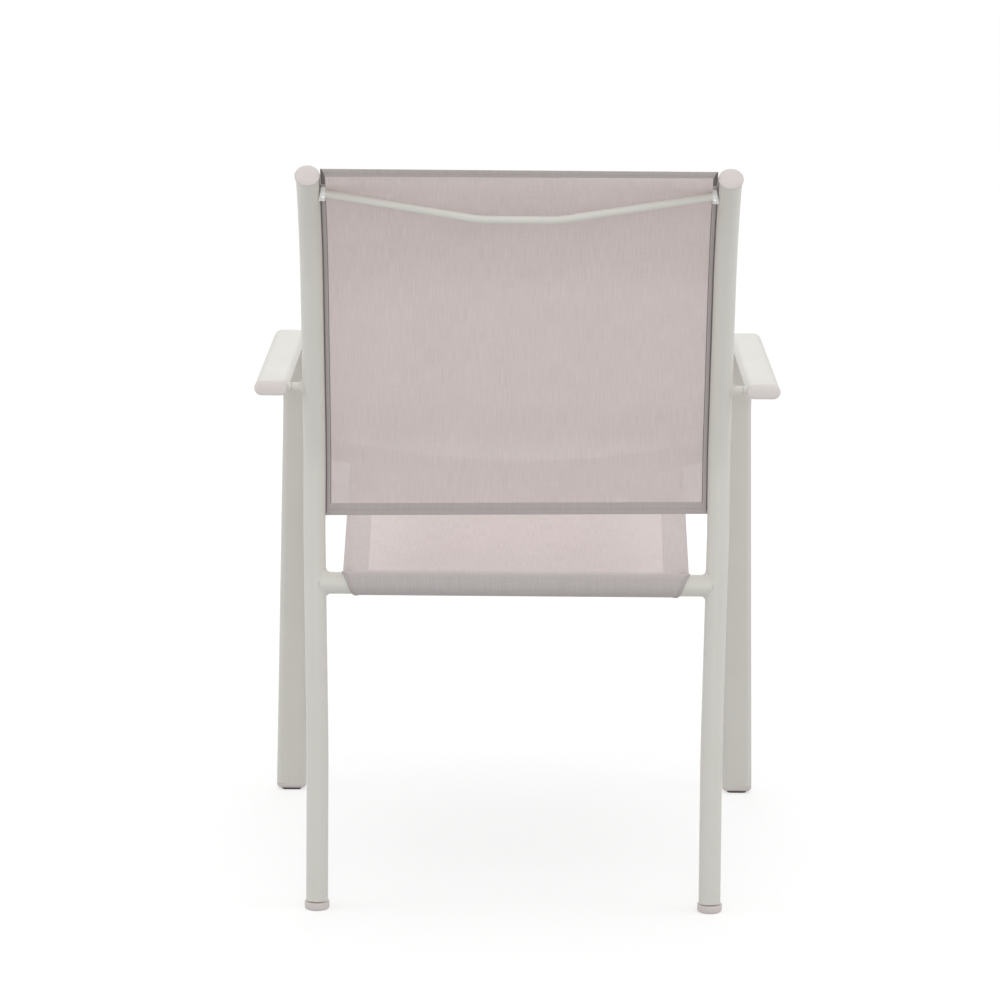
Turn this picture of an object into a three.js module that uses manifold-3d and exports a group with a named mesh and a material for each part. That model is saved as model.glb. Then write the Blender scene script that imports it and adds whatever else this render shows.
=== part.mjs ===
// Sling patio chair of the stacking kind: round rear posts that carry the back sling in a
// groove, flat-oval tubes that are arm and front leg in one, and a seat sling wrapped
// round a tube frame. Millimetres, +Z up; the sitter faces -Y and has +X on the left.
import * as THREE from 'three';
import { mergeVertices } from 'three/addons/utils/BufferGeometryUtils.js';
import Module from 'manifold-3d';

const wasm = await Module();
wasm.setup();

// Whole chair
const overallDepth = 623.5;
const clearance = 0.3; // gap between pieces that meet
const overrun = 3; // how far a cut passes the face that it leaves by

// Rear posts, one bent tube each from foot to top of back
const postRadius = 12.7;
const postWall = 1.5;
const postSpacing = 465.7; // between centres along the back
const postFootSpacing = 456.8; // between centres at the floor
const postTaperStart = 190; // the posts draw apart from here
const postTaperHeight = 440; // and are parallel again from here up
const postHeight = 864.5; // centre of the upper end
const kneeHeight = 500; // where the straight leg ends
const kneeRadius = 150;
const crownRise = 144.5; // height of the curved top of the post
const postLegLean = 6; // degrees forward, going up
const backRecline = 15.5; // degrees rearward, going up
const crownLean = 49; // degrees rearward at the upper end

// Groove in the posts for the back sling
const grooveForward = 4; // groove centre in front of the post centre
const grooveMouth = 2.4;
const groovePocketRadius = 3;
const groovePocketDepth = 7.6; // pocket centre inward of the post centre
const grooveWeb = 1.2; // metal between pocket and bore

// Caps and feet of the rear posts
const topCapRadius = 14;
const topCapRim = 1.6;
const topCapDome = 2.2;
const rearFootRadius = 14.4;
const rearFootHeight = 9;
const rearFootChamfer = 2.4;
const postPlugLength = 16;

// Arm and front leg tubes
const armWidth = 38.1;
const armThickness = 17;
const armWall = 1.6;
const armSpan = 600; // outside to outside
const armHeight = 609.6; // centre of the arm tube
const armTail = 10; // arm end behind the post centre
const legTopSpan = 592; // outside to outside below the bend
const legFootSpan = 614; // outside to outside at the floor
const legBendRadius = 110;
const frontLegLean = 1.7; // degrees forward, going down

// Caps and feet of the arm tubes
const armCapThickness = 4.2;
const armCapRounding = 1.8;
const armPlugLength = 14;
const footPlugHeight = 6;
const footPlugRounding = 4;
const glideThickness = 2;
const glideInset = 6.5; // glide edge inside the plug edge

// Stub, spacer and bolt that tie each arm to its post
const stubRadius = 5;
const stubLength = 12; // from the side of the post
const spacerRadius = 4.8;
const boltRadius = 3;
const boltHeadRadius = 5;
const boltHeadHeight = 4;
const boltReach = 7; // length of thread inside the stub

// Crossbars of the seat frame
const weldSize = 3;
const barRadius = 12.7;
const barWall = 1.5;
const rearBarHeight = 379;
const frontBarHeight = 456; // at its ends
const frontBarBow = 34; // how far its middle hangs below its ends
const frontBarBite = 4.6; // how far the bar end reaches beside the leg

// Seat side rails
const railRadius = 11;
const railWall = 1.5;

// Seat sling
const slingThickness = 1.2;
const seatPostGap = 19.15; // between seat and rear post
const seatLegGap = 47.4; // between seat and front leg
const flapTaper = 15; // each end of the rear flap slants in by this under the bar
const seatSag = 4;
const seatLift = 0.6; // sling above the tubes that carry it
const flapStart = 94; // degrees up and round from the far side of a crossbar
const flapEnd = 112; // degrees down and round from there, at the front
const rearFlapEnd = 150; // the same at the rear
const rearFlapTongue = 26; // the rear flap's screwed edge is narrower by this at each end
const seatWrapMargin = 13.8; // the side sleeves stop short of the crossbar centres

// Screws that hold the seat sling from below
const screwHeadRadius = 4;
const screwHeadHeight = 2.4;
const screwShankRadius = 1.75;
const screwLength = 9;
const barScrewPitch = 120;
const rearScrewTilt = 40; // degrees from straight down, turned in under the seat

// Back sling and its splines
const backSlingThickness = 1;
const backSlingBottom = 459;
const backSlingTopInset = 1; // where its edges end, below the post ends
const backSlingRise = 6; // its middle stands above the post ends by this
const splineRadius = 2.3;
const notchSize = { x: 40, y: 60, z: 30 }; // of what clears the sling from each cap

// Spreader rod and its brackets
const rodRadius = 4.4;
const rodBelowTop = 19.8; // below the post ends
const rodBow = 35;
const rodFlatHalf = 32; // half length of the straight middle
const rodBendEnd = 57; // where each bend beside it ends
const rodSlingGap = 1;
const tenonRadius = 3;
const tenonLength = 4.5;
const bracketTopWidth = 5;
const bracketBottomWidth = 8;
const bracketBite = 2; // it reaches this far round the rear of the post
const bracketHeight = 14;
const bracketDepth = 10;
const pinRadius = 1.2;
const pinHeadRadius = 1.9;
const pinHeadHeight = 0.8;

// Facet counts
const postSides = 22;
const boreSides = 12;
const tubeSides = 18;
const smallSides = 12;
const ovalSides = 7; // per rounded edge
const ovalBoreSides = 5;
const bendSteps = 9;
const kneeSteps = 4;
const crownSteps = 8;
const bowSteps = 14;

const leftSide = 1;
const rightSide = -1;
const radians = THREE.MathUtils.degToRad;

// Materials

const coat = { color: 0xe6e4dc, roughness: 0.42, metalness: 0.05 };
const plastic = { color: 0xdfd7d4, roughness: 0.5, metalness: 0 };
const darkPlastic = { color: 0x3a3937, roughness: 0.6, metalness: 0 };
const greyPlastic = { color: 0x9b9894, roughness: 0.55, metalness: 0 };
const paleGreyPlastic = { color: 0xc8c5be, roughness: 0.55, metalness: 0 };
const enamel = { color: 0xf6f6f3, roughness: 0.3, metalness: 0 };
const bareMetal = { color: 0xc9c9c6, roughness: 0.3, metalness: 0.9 };
const cloth = { color: 0xbfb2ae, roughness: 0.85, metalness: 0 };

// A path through given stations, with its cross-sections held square to a side direction

class StationPath extends THREE.Curve {
  constructor(stations, side) {
    super();
    this.stations = stations;
    this.side = side;
  }

  getPoint(t, target = new THREE.Vector3()) {
    const place = t * (this.stations.length - 1);
    const index = Math.min(Math.floor(place), this.stations.length - 2);
    return target.lerpVectors(this.stations[index], this.stations[index + 1], place - index);
  }

  getUtoTmapping(u) {
    return u;
  }

  computeFrenetFrames() {
    const last = this.stations.length - 1;
    const steps = [];
    for (let i = 0; i < last; i += 1) {
      steps.push(this.stations[i + 1].clone().sub(this.stations[i]).normalize());
    }
    const tangents = this.stations.map((_, i) => steps[Math.max(i - 1, 0)].clone()
      .add(steps[Math.min(i, last - 1)]).normalize());
    const normals = tangents.map((tangent) => this.side.clone()
      .addScaledVector(tangent, -this.side.dot(tangent)).normalize());
    const binormals = tangents.map((tangent, i) => tangent.clone().cross(normals[i]));
    return { tangents, normals, binormals };
  }
}

const sideways = new THREE.Vector3(1, 0, 0);

function sweep(shape, stations, side = sideways) {
  return new THREE.ExtrudeGeometry(shape, {
    steps: stations.length - 1,
    extrudePath: new StationPath(stations, side),
  });
}

// Solids: joining, cutting and naming

function solidOf(geometry) {
  const bare = geometry.clone();
  bare.deleteAttribute('normal');
  bare.deleteAttribute('uv');
  const merged = mergeVertices(bare);
  return new wasm.Manifold(new wasm.Mesh({
    numProp: 3,
    vertProperties: new Float32Array(merged.attributes.position.array),
    triVerts: new Uint32Array(merged.index.array),
  }));
}

function joined(...geometries) {
  return geometries.map(solidOf).reduce((whole, next) => whole.add(next));
}

function cut(solid, ...geometries) {
  return geometries.map(solidOf).reduce((whole, tool) => whole.subtract(tool), solid);
}

function geometryOf(solid) {
  const mesh = solid.getMesh();
  const positions = new Float32Array(mesh.numVert * 3);
  for (let i = 0; i < mesh.numVert; i += 1) {
    for (let axis = 0; axis < 3; axis += 1) {
      positions[3 * i + axis] = mesh.vertProperties[mesh.numProp * i + axis];
    }
  }
  const geometry = new THREE.BufferGeometry();
  geometry.setAttribute('position', new THREE.BufferAttribute(positions, 3));
  geometry.setIndex(new THREE.BufferAttribute(new Uint32Array(mesh.triVerts), 1));
  geometry.computeVertexNormals();
  return geometry;
}

const chair = new THREE.Group();

function addPiece(name, shape, finish) {
  const geometry = shape.isBufferGeometry ? shape : geometryOf(shape);
  const mesh = new THREE.Mesh(geometry, new THREE.MeshStandardMaterial(finish));
  mesh.name = name;
  chair.add(mesh);
  return mesh;
}

function sideName(side) {
  return side === leftSide ? 'left' : 'right';
}

// Cross-sections

function arcPoints(radius, from, to, count, centreX = 0, centreY = 0) {
  const points = [];
  for (let i = 0; i <= count; i += 1) {
    const angle = from + (to - from) * (i / count);
    points.push(new THREE.Vector2(
      centreX + radius * Math.cos(angle),
      centreY + radius * Math.sin(angle),
    ));
  }
  return points;
}

function roundShape(radius, sides, boreRadius = 0) {
  const shape = new THREE.Shape(arcPoints(radius, 0, 2 * Math.PI, sides).slice(0, -1));
  if (boreRadius > 0) {
    const bore = arcPoints(boreRadius, 0, 2 * Math.PI, boreSides).slice(0, -1);
    shape.holes.push(new THREE.Path(bore));
  }
  return shape;
}

function ovalPoints(width, thickness, sides) {
  const radius = thickness / 2;
  const centre = width / 2 - radius;
  return [
    ...arcPoints(radius, -Math.PI / 2, Math.PI / 2, sides, centre),
    ...arcPoints(radius, Math.PI / 2, 1.5 * Math.PI, sides, -centre),
  ];
}

function ovalShape(width, thickness, sides = ovalSides) {
  return new THREE.Shape(ovalPoints(width, thickness, sides));
}

// The bore of an arm tube, drawn in by a gap where a plug fills it
function armBore(inset) {
  const reach = 2 * (armWall + inset);
  return ovalPoints(armWidth - reach, armThickness - reach, ovalBoreSides);
}

// The bore of a post is a round with a flat beside the groove pocket
function borePoints(inset) {
  const radius = postRadius - postWall - inset;
  const flat = groovePocketDepth - groovePocketRadius - grooveWeb - inset;
  const angle = Math.acos(flat / radius);
  return arcPoints(radius, angle, 2 * Math.PI - angle, boreSides);
}

// Turns a section so that its +x side faces the other post, and keeps it counterclockwise
function facingInward(points, side) {
  const placed = points.map((p) => new THREE.Vector2(-side * p.x, -p.y));
  return side === leftSide ? placed : placed.reverse();
}

// Post section seen from above: the groove opens inward, in front of the centre
function groovedShape(side) {
  const half = grooveMouth / 2;
  const mouthLow = Math.asin((grooveForward - half) / postRadius);
  const mouthHigh = Math.asin((grooveForward + half) / postRadius);
  const pocketAngle = Math.asin(half / groovePocketRadius);
  const outline = [
    ...arcPoints(postRadius, mouthHigh, 2 * Math.PI + mouthLow, postSides),
    ...arcPoints(
      groovePocketRadius,
      -pocketAngle,
      pocketAngle - 2 * Math.PI,
      8,
      groovePocketDepth,
      grooveForward,
    ),
  ];
  const shape = new THREE.Shape(facingInward(outline, side));
  shape.holes.push(new THREE.Path(facingInward(borePoints(0), side)));
  return shape;
}

// Route of a post: depth behind the foot, lean and half spacing at a given height

const crownHeight = postHeight - crownRise;

function postRun(height) {
  const legLean = radians(postLegLean);
  const recline = radians(backRecline);
  const topLean = radians(crownLean);
  const kneeTop = kneeHeight + kneeRadius * (Math.sin(recline) + Math.sin(legLean));
  const crownRadius = (postHeight - crownHeight) / (Math.sin(topLean) - Math.sin(recline));
  const kneeStartY = -kneeHeight * Math.tan(legLean);
  const kneeEndY = kneeStartY + kneeRadius * (Math.cos(legLean) - Math.cos(recline));
  const crownStartY = kneeEndY + (crownHeight - kneeTop) * Math.tan(recline);
  if (height <= kneeHeight) {
    return { y: -height * Math.tan(legLean), lean: -legLean };
  }
  if (height <= kneeTop) {
    const lean = Math.asin((height - kneeHeight) / kneeRadius - Math.sin(legLean));
    return { y: kneeStartY + kneeRadius * (Math.cos(legLean) - Math.cos(lean)), lean };
  }
  if (height <= crownHeight) {
    return { y: kneeEndY + (height - kneeTop) * Math.tan(recline), lean: recline };
  }
  const lean = Math.asin((height - crownHeight) / crownRadius + Math.sin(recline));
  return { y: crownStartY + crownRadius * (Math.cos(recline) - Math.cos(lean)), lean };
}

// The posts end square to their last straight facet, and the back edge of the caps
// there is the rearmost point of the chair
const lastFacet = (postHeight - crownHeight) / crownSteps;
const topY = postRun(postHeight).y;
const topLean = Math.atan((topY - postRun(postHeight - lastFacet).y) / lastFacet);
const capReach = topY + topCapRadius * Math.cos(topLean)
  + (clearance + topCapRim) * Math.sin(topLean);
const rearFootY = overallDepth / 2 - capReach;

function postX(height) {
  const rise = (height - postTaperStart) / (postTaperHeight - postTaperStart);
  const share = THREE.MathUtils.clamp(rise, 0, 1);
  return (postFootSpacing + (postSpacing - postFootSpacing) * share) / 2;
}

// A place beside the post centre line: forward is square to the post, towards the sitter
function postPoint(x, height, forward = 0) {
  const { y, lean } = postRun(height);
  return new THREE.Vector3(
    x,
    rearFootY + y - forward * Math.cos(lean),
    height + forward * Math.sin(lean),
  );
}

function between(from, to, steps) {
  return Array.from({ length: steps }, (_, i) => from + (to - from) * ((i + 1) / steps));
}

function postHeights(from, to) {
  const recline = radians(backRecline);
  const kneeTop = kneeHeight + kneeRadius * (Math.sin(recline) + Math.sin(radians(postLegLean)));
  const all = [
    postTaperStart,
    postTaperHeight,
    kneeHeight,
    ...between(kneeHeight, kneeTop, kneeSteps),
    crownHeight,
    ...between(crownHeight, postHeight, crownSteps),
  ];
  return [from, ...all.filter((height) => height > from && height < to), to];
}

function postStations(side, from, to) {
  return postHeights(from, to).map((height) => postPoint(side * postX(height), height));
}

function postEnvelope(side, margin = clearance) {
  const shape = roundShape(postRadius + margin, postSides);
  return sweep(shape, postStations(side, -overrun, postHeight));
}

// Route of an arm and its front leg

const armX = (armSpan - armWidth) / 2;
const armRearY = rearFootY + postRun(armHeight).y + armTail;
const frontFootY = -overallDepth / 2 + armThickness / 2;
const legTurn = Math.PI / 2 - radians(frontLegLean);
const legTopHeight = armHeight - legBendRadius * (1 - Math.cos(legTurn));
const legTopY = frontFootY + legTopHeight * Math.tan(radians(frontLegLean));
const bendStartY = legTopY + legBendRadius * Math.sin(legTurn);

function legPoint(side, height) {
  const share = height / legTopHeight;
  const span = legFootSpan + (legTopSpan - legFootSpan) * share;
  const y = frontFootY + (legTopY - frontFootY) * share;
  return new THREE.Vector3(side * (span - armWidth) / 2, y, height);
}

function armStations(side, lowest) {
  const stations = [
    new THREE.Vector3(side * armX, armRearY, armHeight),
    new THREE.Vector3(side * armX, bendStartY, armHeight),
  ];
  const legTopX = (legTopSpan - armWidth) / 2;
  between(0, legTurn, bendSteps).forEach((turn) => {
    const ease = (1 - Math.cos(Math.PI * (turn / legTurn))) / 2;
    stations.push(new THREE.Vector3(
      side * (armX + (legTopX - armX) * ease),
      bendStartY - legBendRadius * Math.sin(turn),
      armHeight - legBendRadius * (1 - Math.cos(turn)),
    ));
  });
  stations.push(legPoint(side, lowest));
  return stations;
}

function armEnvelope(side, margin = clearance) {
  const shape = ovalShape(armWidth + 2 * margin, armThickness + 2 * margin);
  return sweep(shape, armStations(side, 0));
}

// The bolt heads bear on the rounded inner wall of the arm
const boreHalf = armThickness / 2 - armWall;
const boltSeat = armX - (armWidth - armThickness) / 2
  - Math.sqrt(boreHalf ** 2 - boltHeadRadius ** 2) + 2 * clearance;

// Plain helpers for turned and straight pieces

function turned(profile, sides = tubeSides) {
  return new THREE.LatheGeometry(profile.map(([x, y]) => new THREE.Vector2(x, y)), sides)
    .rotateX(Math.PI / 2);
}

function straight(shape, length) {
  return new THREE.ExtrudeGeometry(shape, { depth: length, bevelEnabled: false, steps: 1 });
}

// A round bar from one point to another
function roundBar(radius, from, to, sides = smallSides) {
  const direction = to.clone().sub(from);
  const turn = new THREE.Quaternion()
    .setFromUnitVectors(new THREE.Vector3(0, 0, 1), direction.clone().normalize());
  return straight(roundShape(radius, sides), direction.length())
    .applyQuaternion(turn)
    .translate(from.x, from.y, from.z);
}

// Everything below a level, for cutting a leg off flat
function groundBlock(level) {
  const size = 2 * overallDepth;
  return new THREE.BoxGeometry(size, size, size).translate(0, 0, level - size / 2);
}

// The part of a solid that lies between two levels
function layerOf(solid, low, high) {
  const size = 2 * overallDepth;
  const slab = new THREE.BoxGeometry(size, size, high - low).translate(0, 0, (low + high) / 2);
  return solid.intersect(solidOf(slab));
}

// A bead of weld fills the corner that two tubes make: all that is near to both of them
function weldBead(firstGrown, secondGrown) {
  return solidOf(firstGrown).intersect(solidOf(secondGrown));
}

// Rear posts with their top caps and feet

function boreShape(side) {
  return new THREE.Shape(facingInward(borePoints(clearance), side));
}

function addPost(side) {
  const tube = solidOf(sweep(groovedShape(side), postStations(side, 0, postHeight)));
  addPiece(
    `rear_post_${sideName(side)}`,
    cut(tube, groundBlock(rearFootHeight + clearance)),
    coat,
  );
}

function addTopCap(side) {
  const rim = clearance + topCapRim;
  const dome = turned([
    [0, clearance],
    [topCapRadius, clearance],
    [topCapRadius, rim],
    [topCapRadius * 0.93, rim + topCapDome * 0.45],
    [topCapRadius * 0.7, rim + topCapDome * 0.8],
    [topCapRadius * 0.35, rim + topCapDome * 0.97],
    [0, rim + topCapDome],
  ], 24);
  const end = postPoint(side * postX(postHeight), postHeight);
  dome.rotateX(-topLean).translate(end.x, end.y, end.z);
  const beyond = new THREE.Vector3(0, Math.sin(topLean), Math.cos(topLean));
  const route = postStations(side, 0, postHeight);
  route[route.length - 1] = end.clone().addScaledVector(beyond, rim);
  const core = solidOf(sweep(boreShape(side), route));
  const plug = layerOf(core, postHeight - postPlugLength, postHeight + postPlugLength);
  addPiece(`top_cap_${sideName(side)}`, solidOf(dome).add(plug), plastic);
}

function addRearFoot(side) {
  const small = rearFootRadius - rearFootChamfer;
  const place = postPoint(side * postX(0), 0);
  const body = turned([
    [0, 0],
    [small, 0],
    [rearFootRadius - 0.3 * rearFootChamfer, 0.4 * rearFootChamfer],
    [rearFootRadius, rearFootChamfer],
    [rearFootRadius, rearFootHeight],
    [0, rearFootHeight],
  ], 24).translate(place.x, place.y, 0);
  const core = solidOf(sweep(boreShape(side), postStations(side, 0, postHeight)));
  const plug = layerOf(core, rearFootHeight / 2, rearFootHeight + postPlugLength);
  addPiece(`rear_foot_${sideName(side)}`, solidOf(body).add(plug), plastic);
}

// Arm and front leg tubes with their caps, plugs and glides

function addArm(side) {
  const section = ovalShape(armWidth, armThickness);
  section.holes.push(new THREE.Path(armBore(0)));
  const tube = solidOf(sweep(section, armStations(side, 0)));
  const start = stubPoint(side, 0);
  const hole = roundBar(
    boltRadius + clearance,
    start,
    start.clone().setX(side * armX),
  );
  addPiece(
    `arm_and_front_leg_${sideName(side)}`,
    cut(tube, groundBlock(glideThickness + footPlugHeight + 2 * clearance), hole),
    coat,
  );
}

// The outer part of a cap or foot, flat where it meets the tube and rounded at the far edge
function ovalCap(thickness, rounding) {
  const outline = ovalPoints(armWidth - 2 * rounding, armThickness - 2 * rounding, ovalSides);
  const body = new THREE.ExtrudeGeometry(new THREE.Shape(outline), {
    depth: thickness - rounding,
    bevelEnabled: true,
    bevelSize: rounding,
    bevelThickness: rounding,
    bevelSegments: 3,
    steps: 1,
  });
  return cut(solidOf(body), groundBlock(0));
}

function armCore(side) {
  const route = armStations(side, 0);
  route[0].y += 2 * clearance;
  return solidOf(sweep(new THREE.Shape(armBore(clearance)), route));
}

function addArmCap(side) {
  const body = ovalCap(armCapThickness, armCapRounding)
    .rotate([-90, 0, 0])
    .translate([side * armX, armRearY + clearance, armHeight]);
  const length = armPlugLength + 2 * clearance;
  const keep = new THREE.BoxGeometry(armWidth, length, armThickness)
    .translate(side * armX, armRearY - armPlugLength + length / 2, armHeight);
  const notch = roundBar(
    boltHeadRadius + clearance,
    stubPoint(side, 0),
    stubPoint(side, 0).setX(side * (boltSeat + boltHeadHeight + clearance)),
  );
  const plug = cut(armCore(side).intersect(solidOf(keep)), notch);
  addPiece(`arm_cap_${sideName(side)}`, body.add(plug), plastic);
}

function addFrontFoot(side) {
  const top = glideThickness + clearance + footPlugHeight;
  const foot = legPoint(side, top);
  const body = ovalCap(footPlugHeight, footPlugRounding)
    .rotate([180, 0, 0])
    .translate([foot.x, foot.y, top]);
  const plug = layerOf(armCore(side), top - clearance, top + armPlugLength);
  addPiece(`front_foot_plug_${sideName(side)}`, body.add(plug), plastic);
  const pad = straight(
    ovalShape(armWidth - 2 * glideInset, armThickness - glideInset),
    glideThickness,
  ).translate(foot.x, foot.y, 0);
  addPiece(`front_foot_glide_${sideName(side)}`, pad, darkPlastic);
}

// Stub on the post, spacer and bolt

function stubPoint(side, outward) {
  const centre = postPoint(side * postX(armHeight), armHeight);
  centre.x += side * (postRadius + outward);
  return centre;
}

function addArmTie(side) {
  const bore = roundBar(
    boltRadius + clearance,
    stubPoint(side, stubLength - boltReach),
    stubPoint(side, stubLength + overrun),
  );
  const core = stubPoint(side, -postRadius);
  const stub = solidOf(roundBar(stubRadius, core, stubPoint(side, stubLength)));
  const bead = weldBead(
    roundBar(stubRadius + weldSize, core, stubPoint(side, stubLength)),
    postEnvelope(side, weldSize),
  );
  addPiece(`arm_stub_${sideName(side)}`, cut(stub.add(bead), postEnvelope(side), bore), coat);

  const inner = stubPoint(side, stubLength + clearance);
  const outer = stubPoint(side, 0).setX(side * (armX - armWidth / 2 + spacerRadius));
  const spacer = solidOf(roundBar(spacerRadius, inner, outer));
  const through = roundBar(
    boltRadius + clearance,
    stubPoint(side, 0),
    stubPoint(side, 0).setX(side * armX),
  );
  addPiece(`arm_spacer_${sideName(side)}`, cut(spacer, armEnvelope(side), through), paleGreyPlastic);

  const tip = stubPoint(side, stubLength - boltReach + clearance);
  const neck = tip.clone().setX(side * boltSeat);
  const shank = roundBar(boltRadius, tip, neck.clone().setX(side * (boltSeat + clearance)));
  const end = neck.clone().setX(side * (boltSeat + boltHeadHeight));
  const head = roundBar(boltHeadRadius, neck, end, 6);
  addPiece(`arm_bolt_${sideName(side)}`, joined(shank, head), bareMetal);
}

// Crossbars

const rearBarY = postPoint(0, rearBarHeight).y;
const frontBarY = legPoint(leftSide, frontBarHeight).y;
const frontBarEnd = legPoint(leftSide, frontBarHeight).x - armWidth / 2 + frontBarBite;

function frontBarZ(x) {
  return frontBarHeight - frontBarBow * (1 - (x / frontBarEnd) ** 2);
}

function frontBarStations(half, steps) {
  return [-half, ...between(-half, half, steps)]
    .map((x) => new THREE.Vector3(x, frontBarY, frontBarZ(x)));
}

const upward = new THREE.Vector3(0, 0, 1);

function rearBarStations() {
  const half = postX(rearBarHeight);
  return [-half, half].map((x) => new THREE.Vector3(x, rearBarY, rearBarHeight));
}

// One crossbar welded between two tubes, whose outlines are given by a function
function crossbar(stations, outline, holes) {
  const tube = solidOf(sweep(roundShape(barRadius, tubeSides, barRadius - barWall), stations, upward));
  const grown = sweep(roundShape(barRadius + weldSize, tubeSides), stations, upward);
  const bore = sweep(roundShape(barRadius - barWall, tubeSides), stations, upward);
  const beads = [leftSide, rightSide].map((side) => cut(
    weldBead(grown, outline(side, weldSize)),
    bore,
  ));
  return cut(
    beads.reduce((whole, bead) => whole.add(bead), tube),
    outline(leftSide),
    outline(rightSide),
    ...holes,
  );
}

function addCrossbars() {
  const rear = crossbar(rearBarStations(), postEnvelope, screwPlaces.rear.map(screwHole));
  addPiece('rear_crossbar', rear, coat);
  const front = crossbar(
    frontBarStations(frontBarEnd, bowSteps),
    armEnvelope,
    screwPlaces.front.map(screwHole),
  );
  addPiece('front_crossbar', front, coat);
}

function barEnvelopes() {
  const shape = roundShape(barRadius + clearance, tubeSides);
  return [rearBarStations(), frontBarStations(frontBarEnd, bowSteps)]
    .map((stations) => sweep(shape, stations, upward));
}

// Seat side rails run from crossbar to crossbar with their tops level with the bar tops
const seatRearWidth = postSpacing - 2 * (postRadius + seatPostGap);
const seatFrontWidth = legTopSpan - 2 * (armWidth + seatLegGap);

const railReach = railRadius + seatLift + slingThickness;
const railDrop = barRadius - railRadius;

function railPoint(side, share) {
  const rearX = seatRearWidth / 2 - railReach;
  const frontX = seatFrontWidth / 2 - railReach;
  const rear = new THREE.Vector3(side * rearX, rearBarY, rearBarHeight + railDrop);
  const front = new THREE.Vector3(side * frontX, frontBarY, frontBarZ(frontX) + railDrop);
  return rear.lerp(front, share);
}

// Where each screw enters its tube, and which way it points
const tilt = radians(rearScrewTilt);
const rearScrewAxis = new THREE.Vector3(0, Math.sin(tilt), Math.cos(tilt));
const screwPlaces = {
  rear: [-barScrewPitch, 0, barScrewPitch].map((x) => ({
    point: new THREE.Vector3(x, rearBarY, rearBarHeight)
      .addScaledVector(rearScrewAxis, -barRadius),
    axis: rearScrewAxis,
  })),
  front: [-barScrewPitch, 0, barScrewPitch].map((x) => ({
    point: new THREE.Vector3(x, frontBarY, frontBarZ(x) - barRadius),
    axis: upward,
  })),
};

function screwHole({ point, axis }) {
  const low = point.clone().addScaledVector(axis, -(seatLift + slingThickness + overrun));
  const high = point.clone().addScaledVector(axis, screwLength + overrun);
  return roundBar(screwShankRadius + clearance, low, high);
}

function addRails() {
  [leftSide, rightSide].forEach((side) => {
    const shape = roundShape(railRadius, tubeSides, railRadius - railWall);
    const tube = solidOf(sweep(shape, [railPoint(side, 0), railPoint(side, 1)]));
    addPiece(`seat_rail_${sideName(side)}`, cut(tube, ...barEnvelopes()), coat);
  });
}

function addSeatScrews() {
  const head = seatLift + slingThickness + clearance;
  const profile = [
    [0, -head - screwHeadHeight],
    [screwHeadRadius * 0.6, -head - screwHeadHeight],
    [screwHeadRadius, -head - screwHeadHeight * 0.4],
    [screwHeadRadius, -head],
    [screwShankRadius, -head],
    [screwShankRadius, screwLength - screwShankRadius],
    [0, screwLength],
  ];
  Object.entries(screwPlaces).forEach(([edge, places]) => {
    places.forEach((place, index) => {
      const screw = addPiece(
        `seat_screw_${edge}_${index + 1}`,
        turned(profile, 8),
        bareMetal,
      );
      screw.quaternion.setFromUnitVectors(upward, place.axis);
      screw.position.copy(place.point);
    });
  });
}

// Seat sling: the spanned sheet, a sleeve round each rail and a flap round each crossbar

function seatHeight(across, share) {
  const rear = rearBarHeight + barRadius + seatLift;
  const front = frontBarZ(across * railPoint(leftSide, 1).x) + barRadius + seatLift;
  const hang = seatSag * 4 * share * (1 - share) * (1 - across ** 2);
  return rear + (front - rear) * share - hang;
}

function seatSheet() {
  const columns = 10;
  const rows = 6;
  const sheet = new THREE.BoxGeometry(2, 1, slingThickness, columns, rows, 1);
  const position = sheet.attributes.position;
  for (let i = 0; i < position.count; i += 1) {
    const across = position.getX(i);
    const share = 0.5 - position.getY(i) * (1 + overrun / (rearBarY - frontBarY));
    const rail = railPoint(leftSide, share);
    position.setXYZ(
      i,
      across * rail.x,
      rail.y,
      seatHeight(across, share) + slingThickness / 2 + position.getZ(i),
    );
  }
  return sheet;
}

function bandShape(radius, from, to, count) {
  return new THREE.Shape([
    ...arcPoints(radius, from, to, count),
    ...arcPoints(radius + slingThickness, to, from, count),
  ]);
}

// A sewn sleeve that slides over a rail
function railSleeve(side) {
  const margin = seatWrapMargin / (rearBarY - frontBarY);
  const inner = railRadius + seatLift;
  const shape = roundShape(inner + slingThickness, tubeSides);
  shape.holes.push(new THREE.Path(arcPoints(inner, 0, 2 * Math.PI, tubeSides).slice(0, -1)));
  return sweep(shape, [railPoint(side, margin), railPoint(side, 1 - margin)]);
}

// The rear flap narrows as it passes under the bar, and more between the rails
function rearFlap() {
  const top = radians(flapStart);
  const low = radians(-rearFlapEnd);
  const shape = bandShape(barRadius + seatLift, top, low, 14);
  const flap = straight(shape, 2).translate(0, 0, -1).rotateY(Math.PI / 2).rotateX(Math.PI / 2);
  const position = flap.attributes.position;
  for (let i = 0; i < position.count; i += 1) {
    const y = position.getY(i);
    const z = position.getZ(i);
    const angle = Math.atan2(z, y);
    const share = THREE.MathUtils.clamp((radians(80) - angle) / radians(160), 0, 1);
    const tongue = THREE.MathUtils.clamp((radians(-105) - angle) / radians(45), 0, 1);
    const half = seatRearWidth / 2 - flapTaper * share - rearFlapTongue * tongue;
    position.setXYZ(i, position.getX(i) * half, rearBarY + y, rearBarHeight + z);
  }
  return flap;
}

function frontFlap() {
  const from = radians(flapStart - 90);
  const shape = bandShape(barRadius + seatLift, -from, radians(90 + flapEnd), 11);
  return sweep(shape, frontBarStations(seatFrontWidth / 2, bowSteps - 4), upward);
}

function addSeatSling() {
  const holes = Object.values(screwPlaces).flat().map(screwHole);
  const whole = joined(
    seatSheet(),
    rearFlap(),
    frontFlap(),
    railSleeve(leftSide),
    railSleeve(rightSide),
  );
  addPiece('seat_sling', cut(whole, ...holes), cloth);
}

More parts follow.
